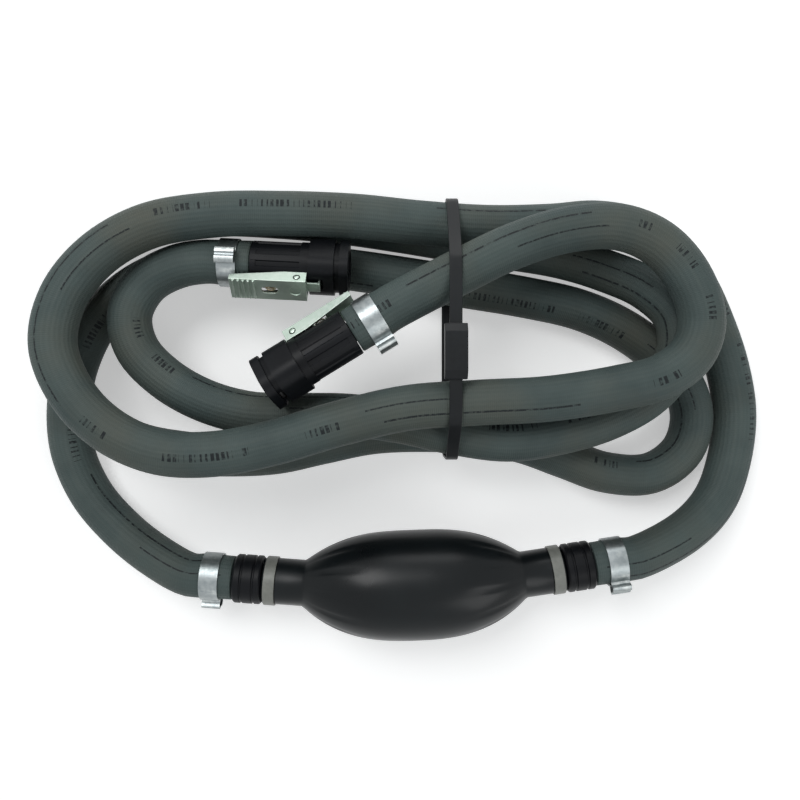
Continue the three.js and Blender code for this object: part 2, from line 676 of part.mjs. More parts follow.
function lever(name) {
  const under = leverTop - LEVER_SHEET;
  const plate = block(LEVER_BACK, LEVER_FRONT, LEVER_WIDTH, under, leverTop);
  const wallOutline = [
    [LEVER_BACK, leverTop],
    [LEVER_BACK, leverTop - LEVER_WALL_TAIL],
    [LEVER_PIVOT_X - LEVER_WALL_STEP, leverTop - LEVER_WALL_PIVOT],
    [LEVER_FRONT, leverTop - LEVER_WALL_PIVOT],
    [LEVER_FRONT, leverTop],
  ];
  const room = sheet(
    [
      [LEVER_BACK - 1, under],
      [LEVER_BACK - 1, 0],
      [LEVER_FRONT + 1, 0],
      [LEVER_FRONT + 1, under],
    ],
    LEVER_WIDTH - 2 * LEVER_SHEET,
  );
  const front = block(LEVER_FRONT - LEVER_SHEET, LEVER_FRONT, LEVER_WIDTH, hookTop - LEVER_SHEET, under);
  const tongueUnder = hookTop - LEVER_SHEET;
  const tipEnd = LEVER_FRONT + HOOK_REACH;
  const tongue = block(LEVER_FRONT - 0.5, tipEnd, HOOK_WIDTH, tongueUnder, hookTop);
  const tip = block(tipEnd - LEVER_SHEET, tipEnd, HOOK_WIDTH, tongueUnder - HOOK_DIP, hookTop);
  const ridges = Array.from({ length: LEVER_RIDGES }, (_, i) => {
    const x = LEVER_BACK + 1 + LEVER_RIDGE_PITCH * i;
    const root = under + LEVER_SHEET / 4;
    const peak = leverTop + LEVER_RIDGE_HEIGHT;
    const outline = [[x, root], [x + 1.2, root], [x + 0.8, peak], [x + 0.4, peak]];
    return sheet(outline, LEVER_WIDTH - 2);
  });
  const channel = cut(sheet(wallOutline, LEVER_WIDTH), room);
  const slotEnd = (OVAL_HOLE_LENGTH - OVAL_HOLE_WIDTH) / 2;
  const oval = add(
    block(OVAL_HOLE_X - slotEnd, OVAL_HOLE_X + slotEnd, OVAL_HOLE_WIDTH, under - 1, leverTop + 1),
    upRod(OVAL_HOLE_WIDTH / 2, OVAL_HOLE_X - slotEnd, under - 1, leverTop + 1, 12),
    upRod(OVAL_HOLE_WIDTH / 2, OVAL_HOLE_X + slotEnd, under - 1, leverTop + 1, 12),
  );
  const dimple = upRod(DIMPLE / 2, DIMPLE_X, leverTop - DIMPLE_DEPTH, leverTop + 1, 16);
  const pinHoles = crossRod(LEVER_PIN / 2 + GAP, LEVER_WIDTH + 2, LEVER_PIVOT_X, pivotHeight);
  const whole = add(channel, plate, front, tongue, tip, ...ridges);
  return named(name, cut(whole, oval, dimple, pinHoles), 'plated');
}

function leverPin(name) {
  const width = LEVER_WIDTH + 2 * GAP;
  return named(name, crossRod(LEVER_PIN / 2, width, LEVER_PIVOT_X, pivotHeight), 'plated');
}

function dressConnector(frame, label, { roll, ear }) {
  const hoseClamp = clamp(`clamp_connector_${label}`, ear - roll);
  hoseClamp.position.x = -GAP - CLAMP_SETBACK - CLAMP_WIDTH;
  frame.add(
    connectorBody(`connector_${label}_body`),
    lever(`connector_${label}_lever`),
    leverPin(`connector_${label}_lever_pin`),
    leverSpring(`connector_${label}_lever_spring`),
    poppet(`connector_${label}_poppet`),
    poppetSpring(`connector_${label}_poppet_spring`),
    oRing(`connector_${label}_o_ring`),
    hoseClamp,
  );
}

// ---- the cable tie, pulled tight around every strand that crosses its plane ----
function convexOutline(points) {
  const sorted = [...points].sort((p, q) => p.x - q.x || p.y - q.y);
  const turn = (o, p, q) => (p.x - o.x) * (q.y - o.y) - (p.y - o.y) * (q.x - o.x);
  const chain = (list) => {
    const kept = [];
    for (const point of list) {
      while (kept.length > 1 && turn(kept.at(-2), kept.at(-1), point) <= 0.02) kept.pop();
      kept.push(point);
    }
    return kept.slice(0, -1);
  };
  return [...chain(sorted), ...chain(sorted.reverse())];
}

function strandOutline(radius) {
  const points = [];
  for (const curve of [curveA, curveB]) {
    const samples = Math.ceil(curve.getLength());
    for (let i = 0; i <= samples; i += 1) {
      const centre = curve.getPointAt(i / samples);
      if (Math.abs(centre.x - TIE_X) > TIE_WIDTH / 2 + 1) continue;
      for (const { x, y } of circlePoints(radius, 16)) {
        points.push(new THREE.Vector2(centre.y + x, centre.z + y));
      }
    }
  }
  return convexOutline(points);
}

function cableTie() {
  const inner = HOSE_OUTER / 2 + GAP;
  const start = TIE_X - TIE_WIDTH / 2;
  const inside = new THREE.Shape(strandOutline(inner));
  const outline = strandOutline(inner + TIE_THICK);
  const loop = cut(
    pushed(new THREE.Shape(outline), start, start + TIE_WIDTH),
    pushed(inside, start - 1, start + TIE_WIDTH + 1),
  );
  const top = Math.max(...outline.map((point) => point.y));
  const half = TIE_HEAD_LENGTH / 2;
  const bottom = top - TIE_THICK - TIE_HEAD_SINK;
  const height = TIE_HEAD_HEIGHT;
  const profile = new THREE.Shape([
    new THREE.Vector2(-half, bottom),
    new THREE.Vector2(half, bottom),
    new THREE.Vector2(half, bottom + height * 0.6),
    new THREE.Vector2(half - TIE_HEAD_TAPER, bottom + height),
    new THREE.Vector2(TIE_HEAD_TAPER - half, bottom + height),
    new THREE.Vector2(-half, bottom + height * 0.6),
  ]);
  const head = pushed(profile, TIE_X - TIE_HEAD_WIDTH / 2, TIE_X + TIE_HEAD_WIDTH / 2);
  return named('cable_tie', add(loop, head.translate([0, TIE_HEAD_Y, 0])), 'plastic');
}

// ---- assembly ----
dressNeck(necks.outlet, 'outlet', false, OUTLET_EAR);
dressNeck(necks.inlet, 'inlet', true, INLET_EAR);
dressConnector(connectors.a, 'a', CONNECTOR_A);
dressConnector(connectors.b, 'b', CONNECTOR_B);

const assembly = new THREE.Group();
assembly.add(
  hose('hose_a', curveA, [socketAt(connectors.a, -GAP, -1), socketAt(necks.outlet, barbFace, 1)]),
  hose('hose_b', curveB, [socketAt(necks.inlet, barbFace, 1), socketAt(connectors.b, -GAP, -1)]),
  bulb(),
  necks.outlet.parent,
  necks.inlet.parent,
  connectors.a,
  connectors.b,
  cableTie(),
);
assembly.position.copy(FRAME_SHIFT);

export default assembly;
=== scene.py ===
"""A marine outboard fuel line: two coiled hoses, a primer bulb, latching quick connectors, ear clamps and a
cable tie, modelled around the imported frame. Shapes are worked out in millimetres and placed in metres."""

import math

import bmesh
import bpy
from mathutils import Matrix, Vector


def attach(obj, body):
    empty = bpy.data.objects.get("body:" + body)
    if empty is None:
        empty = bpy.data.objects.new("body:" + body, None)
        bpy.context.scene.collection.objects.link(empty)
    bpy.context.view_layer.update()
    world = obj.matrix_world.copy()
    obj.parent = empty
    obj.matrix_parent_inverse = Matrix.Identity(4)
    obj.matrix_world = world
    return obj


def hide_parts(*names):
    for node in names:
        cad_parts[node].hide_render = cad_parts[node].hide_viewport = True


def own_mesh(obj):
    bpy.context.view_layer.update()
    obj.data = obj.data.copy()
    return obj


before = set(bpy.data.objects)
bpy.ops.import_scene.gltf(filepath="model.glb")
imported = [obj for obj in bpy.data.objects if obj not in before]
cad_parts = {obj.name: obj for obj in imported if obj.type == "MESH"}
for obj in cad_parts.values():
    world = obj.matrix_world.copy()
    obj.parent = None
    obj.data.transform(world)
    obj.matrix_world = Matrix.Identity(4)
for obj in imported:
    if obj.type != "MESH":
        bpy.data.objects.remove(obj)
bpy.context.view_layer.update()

# ---- driving sizes, in millimetres ----
MM = 0.001
GAP = 0.3
FRAME_SHIFT = Vector((-1.2, 1.5, 0))

HOSE_OUTER = 17
HOSE_BORE = 9.5
HOSE_ROUNDING = 0.5
BORE_SHOWN = 3
BORE_TAPER = 0.1
STRAIGHT_END = 18
STRAIGHT_MIDDLE = 0.67
HOSE_STEP = 2.5
HOSE_SIDES = 48

CLAMP_WIDTH = 7.2
CLAMP_BAND = 0.6
CLAMP_SETBACK = 5
CLAMP_NIP = 0.12
NIP_MARGIN = 0.6
SWELL_HEIGHT = 0.22
SWELL_REACH = 0.9
EAR_WIDTH = 6.6
EAR_HEIGHT = 3.4
EAR_PINCH = 1
EAR_ROOT_SHARE = 0.22
EAR_FLANK = ((0.15, 0.5), (0, 0.68), (0.5, 0.88), (1.3, 1))
EAR_DENT_RADIUS = 1.4
EAR_DENT_RISE = 1.05
BARB_LENGTH = 14
BARB_TOOTH = 0.5
BARB_COUNT = 3

BULB_OUTER = 42.9
BULB_BODY = 87
BULB_LENGTH = 119
BULB_SWELL = 2.8
BULB_STEP = 1.25
BULB_SIDES = 96
FLUTES = 12
FLUTE_X = 31
FLUTE_REACH = 8.5
FLUTE_DEPTH = 0.024
FLUTE_FAINTEST = 0.01
FLUTE_END = 43
NECK_OUTER = 18
NECK_BORE = 12.6
NECK_BORE_SHOWN = 14
NECK_BORE_TAPER = 0.2
NECK_ROUNDING = 0.6
BULB_BEND_RADIUS = 415
BULB_TILT = 2.2
SPIGOT_LENGTH = 13
BULB_CENTRE = Vector((6.2, -69.7, BULB_OUTER / 2 + 0.3))
COLLAR_OUTER = 19
COLLAR_LENGTH = 11.5
COLLAR_CHAMFER = 0.8
COLLAR_GROOVES = (3.4, 8.1)
COLLAR_GROOVE_SHAPE = ((-0.5, 0), (-0.3, 0.5), (0.3, 0.5), (0.5, 0))
RING_WIDTH = 4.4
RING_THICK = 0.8
RING_GROOVE = 0.5
RING_SETBACK = 0.8

HUB_OUTER = 18
HUB_LENGTH = 22
HUB_RIBS = 12
HUB_RIB_DEPTH = 0.5
RIB_CROWN = (-0.36, -0.12, 0.0, 0.12)
RIB_GROOVE = (0.2, 0.38, 0.56)
HEAD_LENGTH = 15
HEAD_HALF_WIDTH = 9.8
HEAD_HALF_HEIGHT = 9.2
HEAD_CORNER = 6.4
HEAD_FLANGE = 3.4
HEAD_NECK_DEPTH = 1.2
PORT_BORE = 9.6
PORT_DEPTH = 12
PORT_DROP = 2.6
SEAT_BORE = 6
SEAT_LENGTH = 2
POPPET_CHAMBER = 8.6
CHAMBER_BACK = 8
O_RING_SECTION = 1.5
O_RING_INSET = 4
PIN_HOLE = 4.4
PIN_HOLE_RISE = 5
PIN_HOLE_DEPTH = 12

LEVER_WIDTH = 10.5
LEVER_SHEET = 0.8
LEVER_TOP = HUB_OUTER / 2 + 4.2
LEVER_BACK = -7
LEVER_FRONT = 22
LEVER_WALL_TAIL = 2.4
LEVER_WALL_PIVOT = 5
LEVER_WALL_STEP = 5
LEVER_PIVOT_X = 18.4
LEVER_PIVOT_HEIGHT = HUB_OUTER / 2 + 1.8
LEVER_PIN = 2
RIDGES = 5
RIDGE_START = 1
RIDGE_PITCH = 1.9
RIDGE_WIDTH = 1.3
RIDGE_CROWN = ((1.05, 0.4), (0.8, 0.7), (0.5, 0.7), (0.3, 0.4))
DIMPLE_X = LEVER_PIVOT_X - 0.6
DIMPLE_RADIUS = 2.2
DIMPLE_DEPTH = 0.3
OVAL_HOLE_X = 8.1
OVAL_HOLE_LENGTH = 6.3
OVAL_HOLE_WIDTH = 3.4
HOOK_WIDTH = 4.4
HOOK_REACH = 5
HOOK_DIP = 2.4
HOOK_DROP = 1.4
LEVER_SPRING_OUTER = 4.6
LEVER_SPRING_WIRE = 0.7
LEVER_SPRING_TURNS = 3
SPRING_SEAT = 0.5

POPPET_HEAD_LENGTH = 1.8
POPPET_SPRING_OUTER = 6.6
POPPET_SPRING_WIRE = 0.8
POPPET_SPRING_TURNS = 5

TIE_X = 20.7
TIE_WIDTH = 4.6
TIE_THICK = 1.2
TIE_HEAD_LENGTH = 20
TIE_HEAD_WIDTH = 8.2
TIE_HEAD_HEIGHT = 5.4
TIE_HEAD_Y = 21
TIE_HEAD_SINK = 1
TIE_HEAD_TAPER = 3

WEAVE_PER_METRE = 4200.0
WEAVE_LEAN = 16.0
WORN_EDGE_GAIN = 2.2

CAMERA_HEIGHT = 331
CAMERA_AT = (-0.5, 5.1)
WORLD_LIGHT = 0.3
FLOOR_GLOW = 0.42
# each lamp's name, its place and width in metres, and its power
LAMPS = (
    ("key", (-0.35, 0.45, 0.9), 0.5, 4.6),
    ("fill", (0.6, -0.5, 0.7), 0.6, 2.4),
    ("back", (0.1, 0.9, 0.35), 0.4, 1.6),
)

CONNECTORS = {
    "a": {"at": (-17.3, 28.6, 44), "heading": 211.5, "roll": -120, "ear": 80},
    "b": {"at": (-56.3, 56.5, 28.4), "heading": -2.8, "roll": -55, "ear": 6},
}
NECKS = {"outlet": {"side": 1, "ear": -60}, "inlet": {"side": -1, "ear": 100}}

ROUTE_A = (
    (23, 51, 44), (43, 60.5, 44), (63, 66.5, 44), (81, 67.5, 44), (96, 61.5, 44), (107, 49, 44),
    (112, 33.5, 44), (108.5, 21, 44), (98, 12.5, 44), (81, 8, 44), (55, 4, 44), (29, 2.6, 44),
    (3, 0.6, 44), (-23, -5.4, 44), (-47, -12.4, 44), (-69, -16.4, 44), (-89, -15.4, 44),
    (-107, -7.4, 44), (-120, 5.6, 44), (-127.3, 23.6, 44), (-124.3, 41.6, 42.5), (-113, 57.6, 40),
    (-95, 69, 37.5), (-71, 74, 35), (-45, 75, 33), (-17, 74.6, 30.5), (9, 72.6, 28), (35, 71, 27.5),
    (59, 71.6, 27), (78, 73.6, 24), (96, 71.6, 18.5), (111, 63.6, 13), (122, 51.6, 10),
    (130, 35.6, 8.8), (136, 17.6, 8.8), (139, -1.4, 8.8), (137, -20.4, 8.8), (130, -37, 11.5),
    (117, -49, 16),
)
ROUTE_B = (
    (-98, -59, 17.5), (-113.5, -49, 12), (-127, -35, 9), (-134.8, -17.4, 8.8), (-136.3, 1.6, 8.8),
    (-132.3, 20.6, 8.8), (-123.3, 37.6, 8.8), (-109.3, 50.6, 8.8), (-91.3, 58.6, 8.8),
    (-69.3, 61, 8.8), (-45.3, 60, 8.8), (-21.3, 57.6, 9), (2.7, 54, 10), (27.7, 50, 10),
    (52.7, 46, 9), (74.7, 41, 8.8), (92.7, 33, 8.8), (107.7, 22, 8.8), (118.5, 8.5, 8.8),
    (121.4, -4.6, 8.8), (117.2, -17.6, 8.8), (104.5, -26.6, 8.8), (86, -26.4, 8.8),
    (68.7, -20.4, 8.8), (50.7, -14, 9.2), (30.7, -10.4, 10), (8.7, -9.4, 10), (-11.3, -10.4, 10),
    (-31.3, -14.4, 11), (-49.3, -18, 15), (-67.3, -18.4, 21), (-85.3, -17, 26), (-102.3, -13.4, 26.8),
    (-117.3, -5.4, 26.8), (-128.3, 6.6, 26.8), (-134.3, 23.6, 26.8), (-133.3, 41.6, 24),
    (-125.3, 57.6, 19.5), (-112.3, 69.6, 14.5), (-95.3, 77.6, 10), (-75.3, 80, 8.8),
    (-49.3, 79, 8.8), (-23.3, 76.6, 8.8), (2.7, 72.6, 10), (26.7, 68.6, 10), (48.7, 65.6, 9),
    (66.7, 62, 11.5), (83.7, 56, 15.8), (99.5, 47.5, 21), (109.2, 35.6, 25.5), (109, 19.6, 26.5),
    (98.7, 6, 26.5), (82.7, -3.4, 26.5), (62.7, -9.4, 27), (42.7, -12, 27.5), (21.7, -9.4, 27.5),
    (0.7, -4.9, 27), (-19.3, -2.4, 26.5), (-39.3, -2, 26.5), (-58.3, -1.4, 26.5),
    (-76.3, 3.6, 26.5), (-91.8, 12.6, 26.5), (-102.3, 24, 26.5), (-105, 37, 26.6), (-98.5, 49, 27),
    (-86, 55.6, 28),
)

HEAD_START = HUB_LENGTH + GAP
HEAD_END = HEAD_START + HEAD_LENGTH
PORT_FLOOR = HEAD_END - PORT_DEPTH
SEAT_BACK = PORT_FLOOR - SEAT_LENGTH
HUB_TOP = HUB_OUTER / 2 - HUB_RIB_DEPTH
HOOK_TOP = LEVER_TOP - LEVER_SHEET - HOOK_DROP
HOSE_FACE = COLLAR_LENGTH + GAP


# ---- placing ----
def connector_place(spec):
    heading = math.radians(spec["heading"])
    along = Vector((math.cos(heading), math.sin(heading), 0))
    up = Matrix.Rotation(-math.radians(spec["roll"]), 3, along) @ Vector((0, 0, 1))
    turn = Matrix((along, up.cross(along), up)).transposed().to_4x4()
    return Matrix.Translation(Vector(spec["at"]) + FRAME_SHIFT) @ turn


def bow_at(x):
    """Where the bulb's centre line is, x along it, and the angle it has turned through."""
    half = BULB_LENGTH / 2 - SPIGOT_LENGTH
    angle = max(-half, min(half, x)) / BULB_BEND_RADIUS
    beyond = x - angle * BULB_BEND_RADIUS
    place = Vector((BULB_BEND_RADIUS * math.sin(angle), BULB_BEND_RADIUS * (1 - math.cos(angle)), 0))
    return place + Vector((math.cos(angle), math.sin(angle), 0)) * beyond, angle


BULB_PLACE = Matrix.Translation(BULB_CENTRE + FRAME_SHIFT) @ Matrix.Rotation(math.radians(BULB_TILT), 4, "Z")


def neck_place(side):
    centre, angle = bow_at(side * BULB_LENGTH / 2)
    turn = Matrix.Rotation(angle + (math.pi if side < 0 else 0), 4, "Z")
    return BULB_PLACE @ Matrix.Translation(centre) @ turn


PLACES = {name: connector_place(spec) for name, spec in CONNECTORS.items()}
PLACES.update({name: neck_place(spec["side"]) for name, spec in NECKS.items()})


# ---- hose routes ----
def end_points(place, face, outward):
    reaches = (face, face + outward * STRAIGHT_END * STRAIGHT_MIDDLE, face + outward * STRAIGHT_END)
    return [place @ Vector((x, 0, 0)) for x in reaches]


def route(first, middle, last):
    return first + [Vector(point) + FRAME_SHIFT for point in middle] + last[::-1]


def smooth_curve(points, steps=24):
    """A centripetal Catmull-Rom curve through the points."""
    curve = []
    for i in range(len(points) - 1):
        here, there = points[i], points[i + 1]
        before = points[i - 1] if i else here * 2 - there
        after = points[i + 2] if i + 2 < len(points) else there * 2 - here
        gaps = ((before, here), (here, there), (there, after))
        spans = [max((q - p).length ** 0.5, 1e-4) for p, q in gaps]
        start = (here - before) / spans[0] - (there - before) / (spans[0] + spans[1])
        start = start + (there - here) / spans[1]
        end = (there - here) / spans[1] - (after - here) / (spans[1] + spans[2])
        end = end + (after - there) / spans[2]
        start, end = start * spans[1], end * spans[1]
        for step in range(steps):
            t = step / steps
            cubic = (here - there) * 2 + start + end
            square = (there - here) * 3 - start * 2 - end
            curve.append(here + start * t + square * t**2 + cubic * t**3)
    return curve + [points[-1]]


def stations(curve, spacing):
    """Evenly spaced frames along a curve: x runs forwards, and y and z turn as little as they can."""
    lengths = [0.0]
    for p, q in zip(curve, curve[1:]):
        lengths.append(lengths[-1] + (q - p).length)
    count = max(2, round(lengths[-1] / spacing))
    centres, k = [], 0
    for i in range(count + 1):
        want = lengths[-1] * i / count
        while k < len(curve) - 2 and lengths[k + 1] < want:
            k += 1
        share = (want - lengths[k]) / max(lengths[k + 1] - lengths[k], 1e-9)
        centres.append(curve[k].lerp(curve[k + 1], share))
    frames = []
    up = Vector((0, 0, 1))
    for i, centre in enumerate(centres):
        ahead = (centres[min(i + 1, count)] - centres[max(i - 1, 0)]).normalized()
        up = (up - ahead * up.dot(ahead)).normalized()
        turn = Matrix((ahead, up.cross(ahead), up)).transposed().to_4x4()
        frames.append(Matrix.Translation(centre) @ turn)
    return frames, lengths[-1]


# ---- mesh tools ----
def ring_tube(rings, sides):
    """A closed skin over rings of (matrix, radius), returned with its rings of vertices."""
    bm = bmesh.new()
    bm.verts.layers.float_vector.new("lay")
    turn = Matrix.Rotation(math.pi / 2, 4, "Y")
    first_place, first_radius = rings[0]
    made = bmesh.ops.create_circle(bm, segments=sides, radius=first_radius, matrix=first_place @ turn)
    loops = [made["verts"]]
    edges = list({edge for vert in made["verts"] for edge in vert.link_edges})
    for (old_place, old_radius), (place, radius) in zip(rings, rings[1:]):
        grown = bmesh.ops.extrude_edge_only(bm, edges=edges)["geom"]
        verts = [item for item in grown if isinstance(item, bmesh.types.BMVert)]
        edges = [item for item in grown if isinstance(item, bmesh.types.BMEdge)]
        grow = Matrix.Diagonal((1, radius / old_radius, radius / old_radius, 1))
        move = place @ grow @ old_place.inverted()
        bmesh.ops.transform(bm, matrix=move, verts=verts)
        loops.append(verts)
    bmesh.ops.contextual_create(bm, geom=edges)
    start = [e for e in bm.edges if len(e.link_faces) == 1]
    bmesh.ops.contextual_create(bm, geom=start)
    bmesh.ops.recalc_face_normals(bm, faces=bm.faces)
    return bm, loops


def turned(profile, steps=72, closed=False):
    """A lathe about x of [x, radius] pairs."""
    bm = bmesh.new()
    verts = [bm.verts.new((x, 0, radius)) for x, radius in profile]
    pairs = list(zip(verts, verts[1:])) + ([(verts[-1], verts[0])] if closed else [])
    edges = [bm.edges.new(pair) for pair in pairs]
    bmesh.ops.spin(
        bm, geom=verts + edges, cent=(0, 0, 0), axis=(1, 0, 0), angle=2 * math.pi,
        steps=steps, use_merge=True,
    )
    bmesh.ops.remove_doubles(bm, verts=bm.verts, dist=1e-4)
    bmesh.ops.recalc_face_normals(bm, faces=bm.faces)
    return bm


def pushed(corners, step):
    """A flat outline of 3-D corners, pushed by a vector."""
    bm = bmesh.new()
    face = bm.faces.new([bm.verts.new(corner) for corner in corners])
    grown = bmesh.ops.extrude_face_region(bm, geom=[face])["geom"]
    verts = [item for item in grown if isinstance(item, bmesh.types.BMVert)]
    bmesh.ops.translate(bm, vec=step, verts=verts)
    bmesh.ops.recalc_face_normals(bm, faces=bm.faces)
    return bm


def along_x(outline, start, end):
    return pushed([(start, y, z) for y, z in outline], (end - start, 0, 0))


def across_y(outline, width):
    return pushed([(x, -width / 2, z) for x, z in outline], (0, width, 0))


def along_z(outline, start, end):
    return pushed([(x, y, start) for x, y in outline], (0, 0, end - start))


def block(x0, x1, width, z0, z1):
    return across_y([(x0, z0), (x1, z0), (x1, z1), (x0, z1)], width)


def circle(radius, sides=48, centre=(0, 0)):
    turns = [2 * math.pi / sides * i for i in range(sides)]
    y, z = centre
    return [(y + radius * math.cos(turn), z + radius * math.sin(turn)) for turn in turns]


def rod(radius, start, end, z=0, sides=48):
    return along_x(circle(radius, sides, (0, z)), start, end)


def rounded_box(half_width, half_height, corner, steps=10):
    outline = []
    for quarter, (sy, sz) in enumerate(((1, 1), (-1, 1), (-1, -1), (1, -1))):
        for i in range(steps + 1):
            angle = math.pi / 2 * (quarter + i / steps)
            y = sy * (half_width - corner) + corner * math.cos(angle)
            z = sz * (half_height - corner) + corner * math.sin(angle)
            outline.append((y, z))
    return outline


def temporary(bm):
    mesh = bpy.data.meshes.new("work")
    bm.to_mesh(mesh)
    bm.free()
    obj = bpy.data.objects.new("work", mesh)
    bpy.context.scene.collection.objects.link(obj)
    return obj


def combine(base, others, operation):
    """Joins bmeshes, or cuts the others out of the first."""
    target = temporary(base)
    tools = [temporary(other) for other in others]
    for tool in tools:
        modifier = target.modifiers.new("join", "BOOLEAN")
        modifier.operation = operation
        modifier.solver = "EXACT"
        modifier.object = tool
    depsgraph = bpy.context.evaluated_depsgraph_get()
    result = bmesh.new()
    result.from_mesh(target.evaluated_get(depsgraph).data)
    for obj in [target, *tools]:
        mesh = obj.data
        bpy.data.objects.remove(obj)
        bpy.data.meshes.remove(mesh)
    bmesh.ops.remove_doubles(result, verts=result.verts, dist=1e-4)
    bmesh.ops.recalc_face_normals(result, faces=result.faces)
    return result


def join(base, *others):
    return combine(base, others, "UNION")


def cut(base, *others):
    return combine(base, others, "DIFFERENCE")


def make(name, bm, place, material, body="fuel_line", stands_for=(), edge=0.0, sharp=35):
    """Turns a bmesh in millimetres into a finished piece in its place."""
    bmesh.ops.transform(bm, matrix=Matrix.Scale(MM, 4) @ place, verts=bm.verts)
    mesh = bpy.data.meshes.new(name)
    bm.to_mesh(mesh)
    bm.free()
    mesh.polygons.foreach_set("use_smooth", [True] * len(mesh.polygons))
    mesh.set_sharp_from_angle(angle=math.radians(sharp))
    mesh.materials.append(material)
    obj = bpy.data.objects.new(name, mesh)
    bpy.context.scene.collection.objects.link(obj)
    if edge:
        bevel = obj.modifiers.new("rounded edges", "BEVEL")
        bevel.width = edge * MM
        bevel.segments = 2
        bevel.limit_method = "ANGLE"
        bevel.angle_limit = math.radians(sharp)
        bevel.harden_normals = True
    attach(obj, body)
    if stands_for:
        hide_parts(*stands_for)
    return obj


# ---- materials ----
def linear(red, green, blue):
    """A screen colour of 0 to 255 as linear light."""
    channels = [c / 255 for c in (red, green, blue)]
    return [c / 12.92 if c <= 0.04045 else ((c + 0.055) / 1.055) ** 2.4 for c in channels] + [1.0]


def node_group(name, inputs, outputs, build):
    group = bpy.data.node_groups.new(name, "ShaderNodeTree")
    for label, kind, value in inputs:
        socket = group.interface.new_socket(label, in_out="INPUT", socket_type=kind)
        if value is not None:
            socket.default_value = value
    for label, kind in outputs:
        group.interface.new_socket(label, in_out="OUTPUT", socket_type=kind)
    enter = group.nodes.new("NodeGroupInput")
    leave = group.nodes.new("NodeGroupOutput")
    build(group, enter.outputs, leave.inputs)
    return group


def wire(tree, kind, links=None, **settings):
    """Adds a node, sets its properties, and links or sets its inputs by name or index."""
    node = tree.nodes.new(kind)
    for key, value in settings.items():
        setattr(node, key, value)
    for key, value in (links or {}).items():
        socket = node.inputs[key]
        if isinstance(value, bpy.types.NodeSocket):
            tree.links.new(value, socket)
        else:
            socket.default_value = value
    return node


def ramp(tree, source, low, high):
    node = wire(tree, "ShaderNodeMapRange", {"Value": source, "From Min": low, "From Max": high})
    return node.outputs["Result"]


def spread(tree, source, low, high):
    """A mask of 0 to 1 stretched from low to high."""
    node = wire(tree, "ShaderNodeMapRange", {"Value": source, "To Min": low, "To Max": high})
    return node.outputs["Result"]


def math_node(tree, operation, first, second=0.0):
    return wire(tree, "ShaderNodeMath", {0: first, 1: second}, operation=operation).outputs[0]


def mix_colour(tree, factor, first, second, blend="MIX"):
    node = wire(tree, "ShaderNodeMix", data_type="RGBA", blend_type=blend)
    for index, value in ((0, factor), (6, first), (7, second)):
        if isinstance(value, bpy.types.NodeSocket):
            tree.links.new(value, node.inputs[index])
        else:
            node.inputs[index].default_value = value
    return node.outputs[2]


def build_grain(tree, enter, leave):
    vector, scale = enter["Vector"], enter["Scale"]
    fine = wire(tree, "ShaderNodeTexNoise", {"Vector": vector, "Scale": scale, "Detail": 6.0})
    coarse_scale = math_node(tree, "MULTIPLY", scale, 0.06)
    coarse = wire(tree, "ShaderNodeTexNoise", {"Vector": vector, "Scale": coarse_scale, "Detail": 3.0})
    tree.links.new(fine.outputs["Fac"], leave["Fine"])
    tree.links.new(ramp(tree, coarse.outputs["Fac"], 0.35, 0.65), leave["Blotch"])


def build_edge_wear(tree, enter, leave):
    geometry = tree.nodes.new("ShaderNodeNewGeometry")
    edge = ramp(tree, geometry.outputs["Pointiness"], 0.52, 0.6)
    noise = wire(tree, "ShaderNodeTexNoise", {"Vector": enter["Vector"], "Scale": 600.0, "Detail": 4.0})
    patchy = math_node(tree, "MULTIPLY", edge, ramp(tree, noise.outputs["Fac"], 0.3, 0.7))
    tree.links.new(math_node(tree, "MULTIPLY", patchy, enter["Amount"]), leave["Mask"])


def build_print(tree, enter, leave):
    """Generic marks down one side of a hose: broken lines and groups of plain strokes."""
    parts = wire(tree, "ShaderNodeSeparateXYZ", {0: enter["Lay"]})
    length = parts.outputs["Z"]
    around = math_node(tree, "ARCTAN2", parts.outputs["Y"], parts.outputs["X"])
    turn = math_node(tree, "WRAP", math_node(tree, "SUBTRACT", around, enter["Angle"]), math.pi)
    turn.node.inputs[2].default_value = -math.pi
    repeat = math_node(tree, "FRACT", math_node(tree, "MULTIPLY", length, 5.2))

    def within(value, low, high):
        above = math_node(tree, "GREATER_THAN", value, low)
        return math_node(tree, "MULTIPLY", above, math_node(tree, "LESS_THAN", value, high))

    line = math_node(tree, "MULTIPLY", within(turn, 0.27, 0.36), within(repeat, 0.05, 0.42))
    second = math_node(tree, "MULTIPLY", within(turn, -0.36, -0.29), within(repeat, 0.02, 0.2))
    column = math_node(tree, "MULTIPLY", length, 520.0)
    chance = wire(
        tree, "ShaderNodeTexWhiteNoise", {"W": math_node(tree, "FLOOR", column)}, noise_dimensions="1D"
    )
    wide = math_node(tree, "MULTIPLY", chance.outputs["Value"], 0.75)
    stroke = math_node(tree, "LESS_THAN", math_node(tree, "FRACT", column), wide)
    groups = math_node(tree, "FLOOR", math_node(tree, "MULTIPLY", length, 95.0))
    grouped = wire(tree, "ShaderNodeTexWhiteNoise", {"W": groups}, noise_dimensions="1D")
    spoken = math_node(tree, "GREATER_THAN", grouped.outputs["Value"], 0.35)
    band = math_node(tree, "MULTIPLY", within(turn, -0.17, 0.17), within(repeat, 0.46, 0.97))
    blocks = math_node(tree, "MULTIPLY", stroke, band)
    both = math_node(tree, "MAXIMUM", line, math_node(tree, "MULTIPLY", blocks, spoken))
    both = math_node(tree, "MAXIMUM", both, second)
    rub = wire(tree, "ShaderNodeTexNoise", {"Vector": enter["Lay"], "Scale": 700.0, "Detail": 3.0})
    worn = math_node(tree, "MULTIPLY", both, ramp(tree, rub.outputs["Fac"], 0.3, 0.52))
    tree.links.new(worn, leave["Mask"])


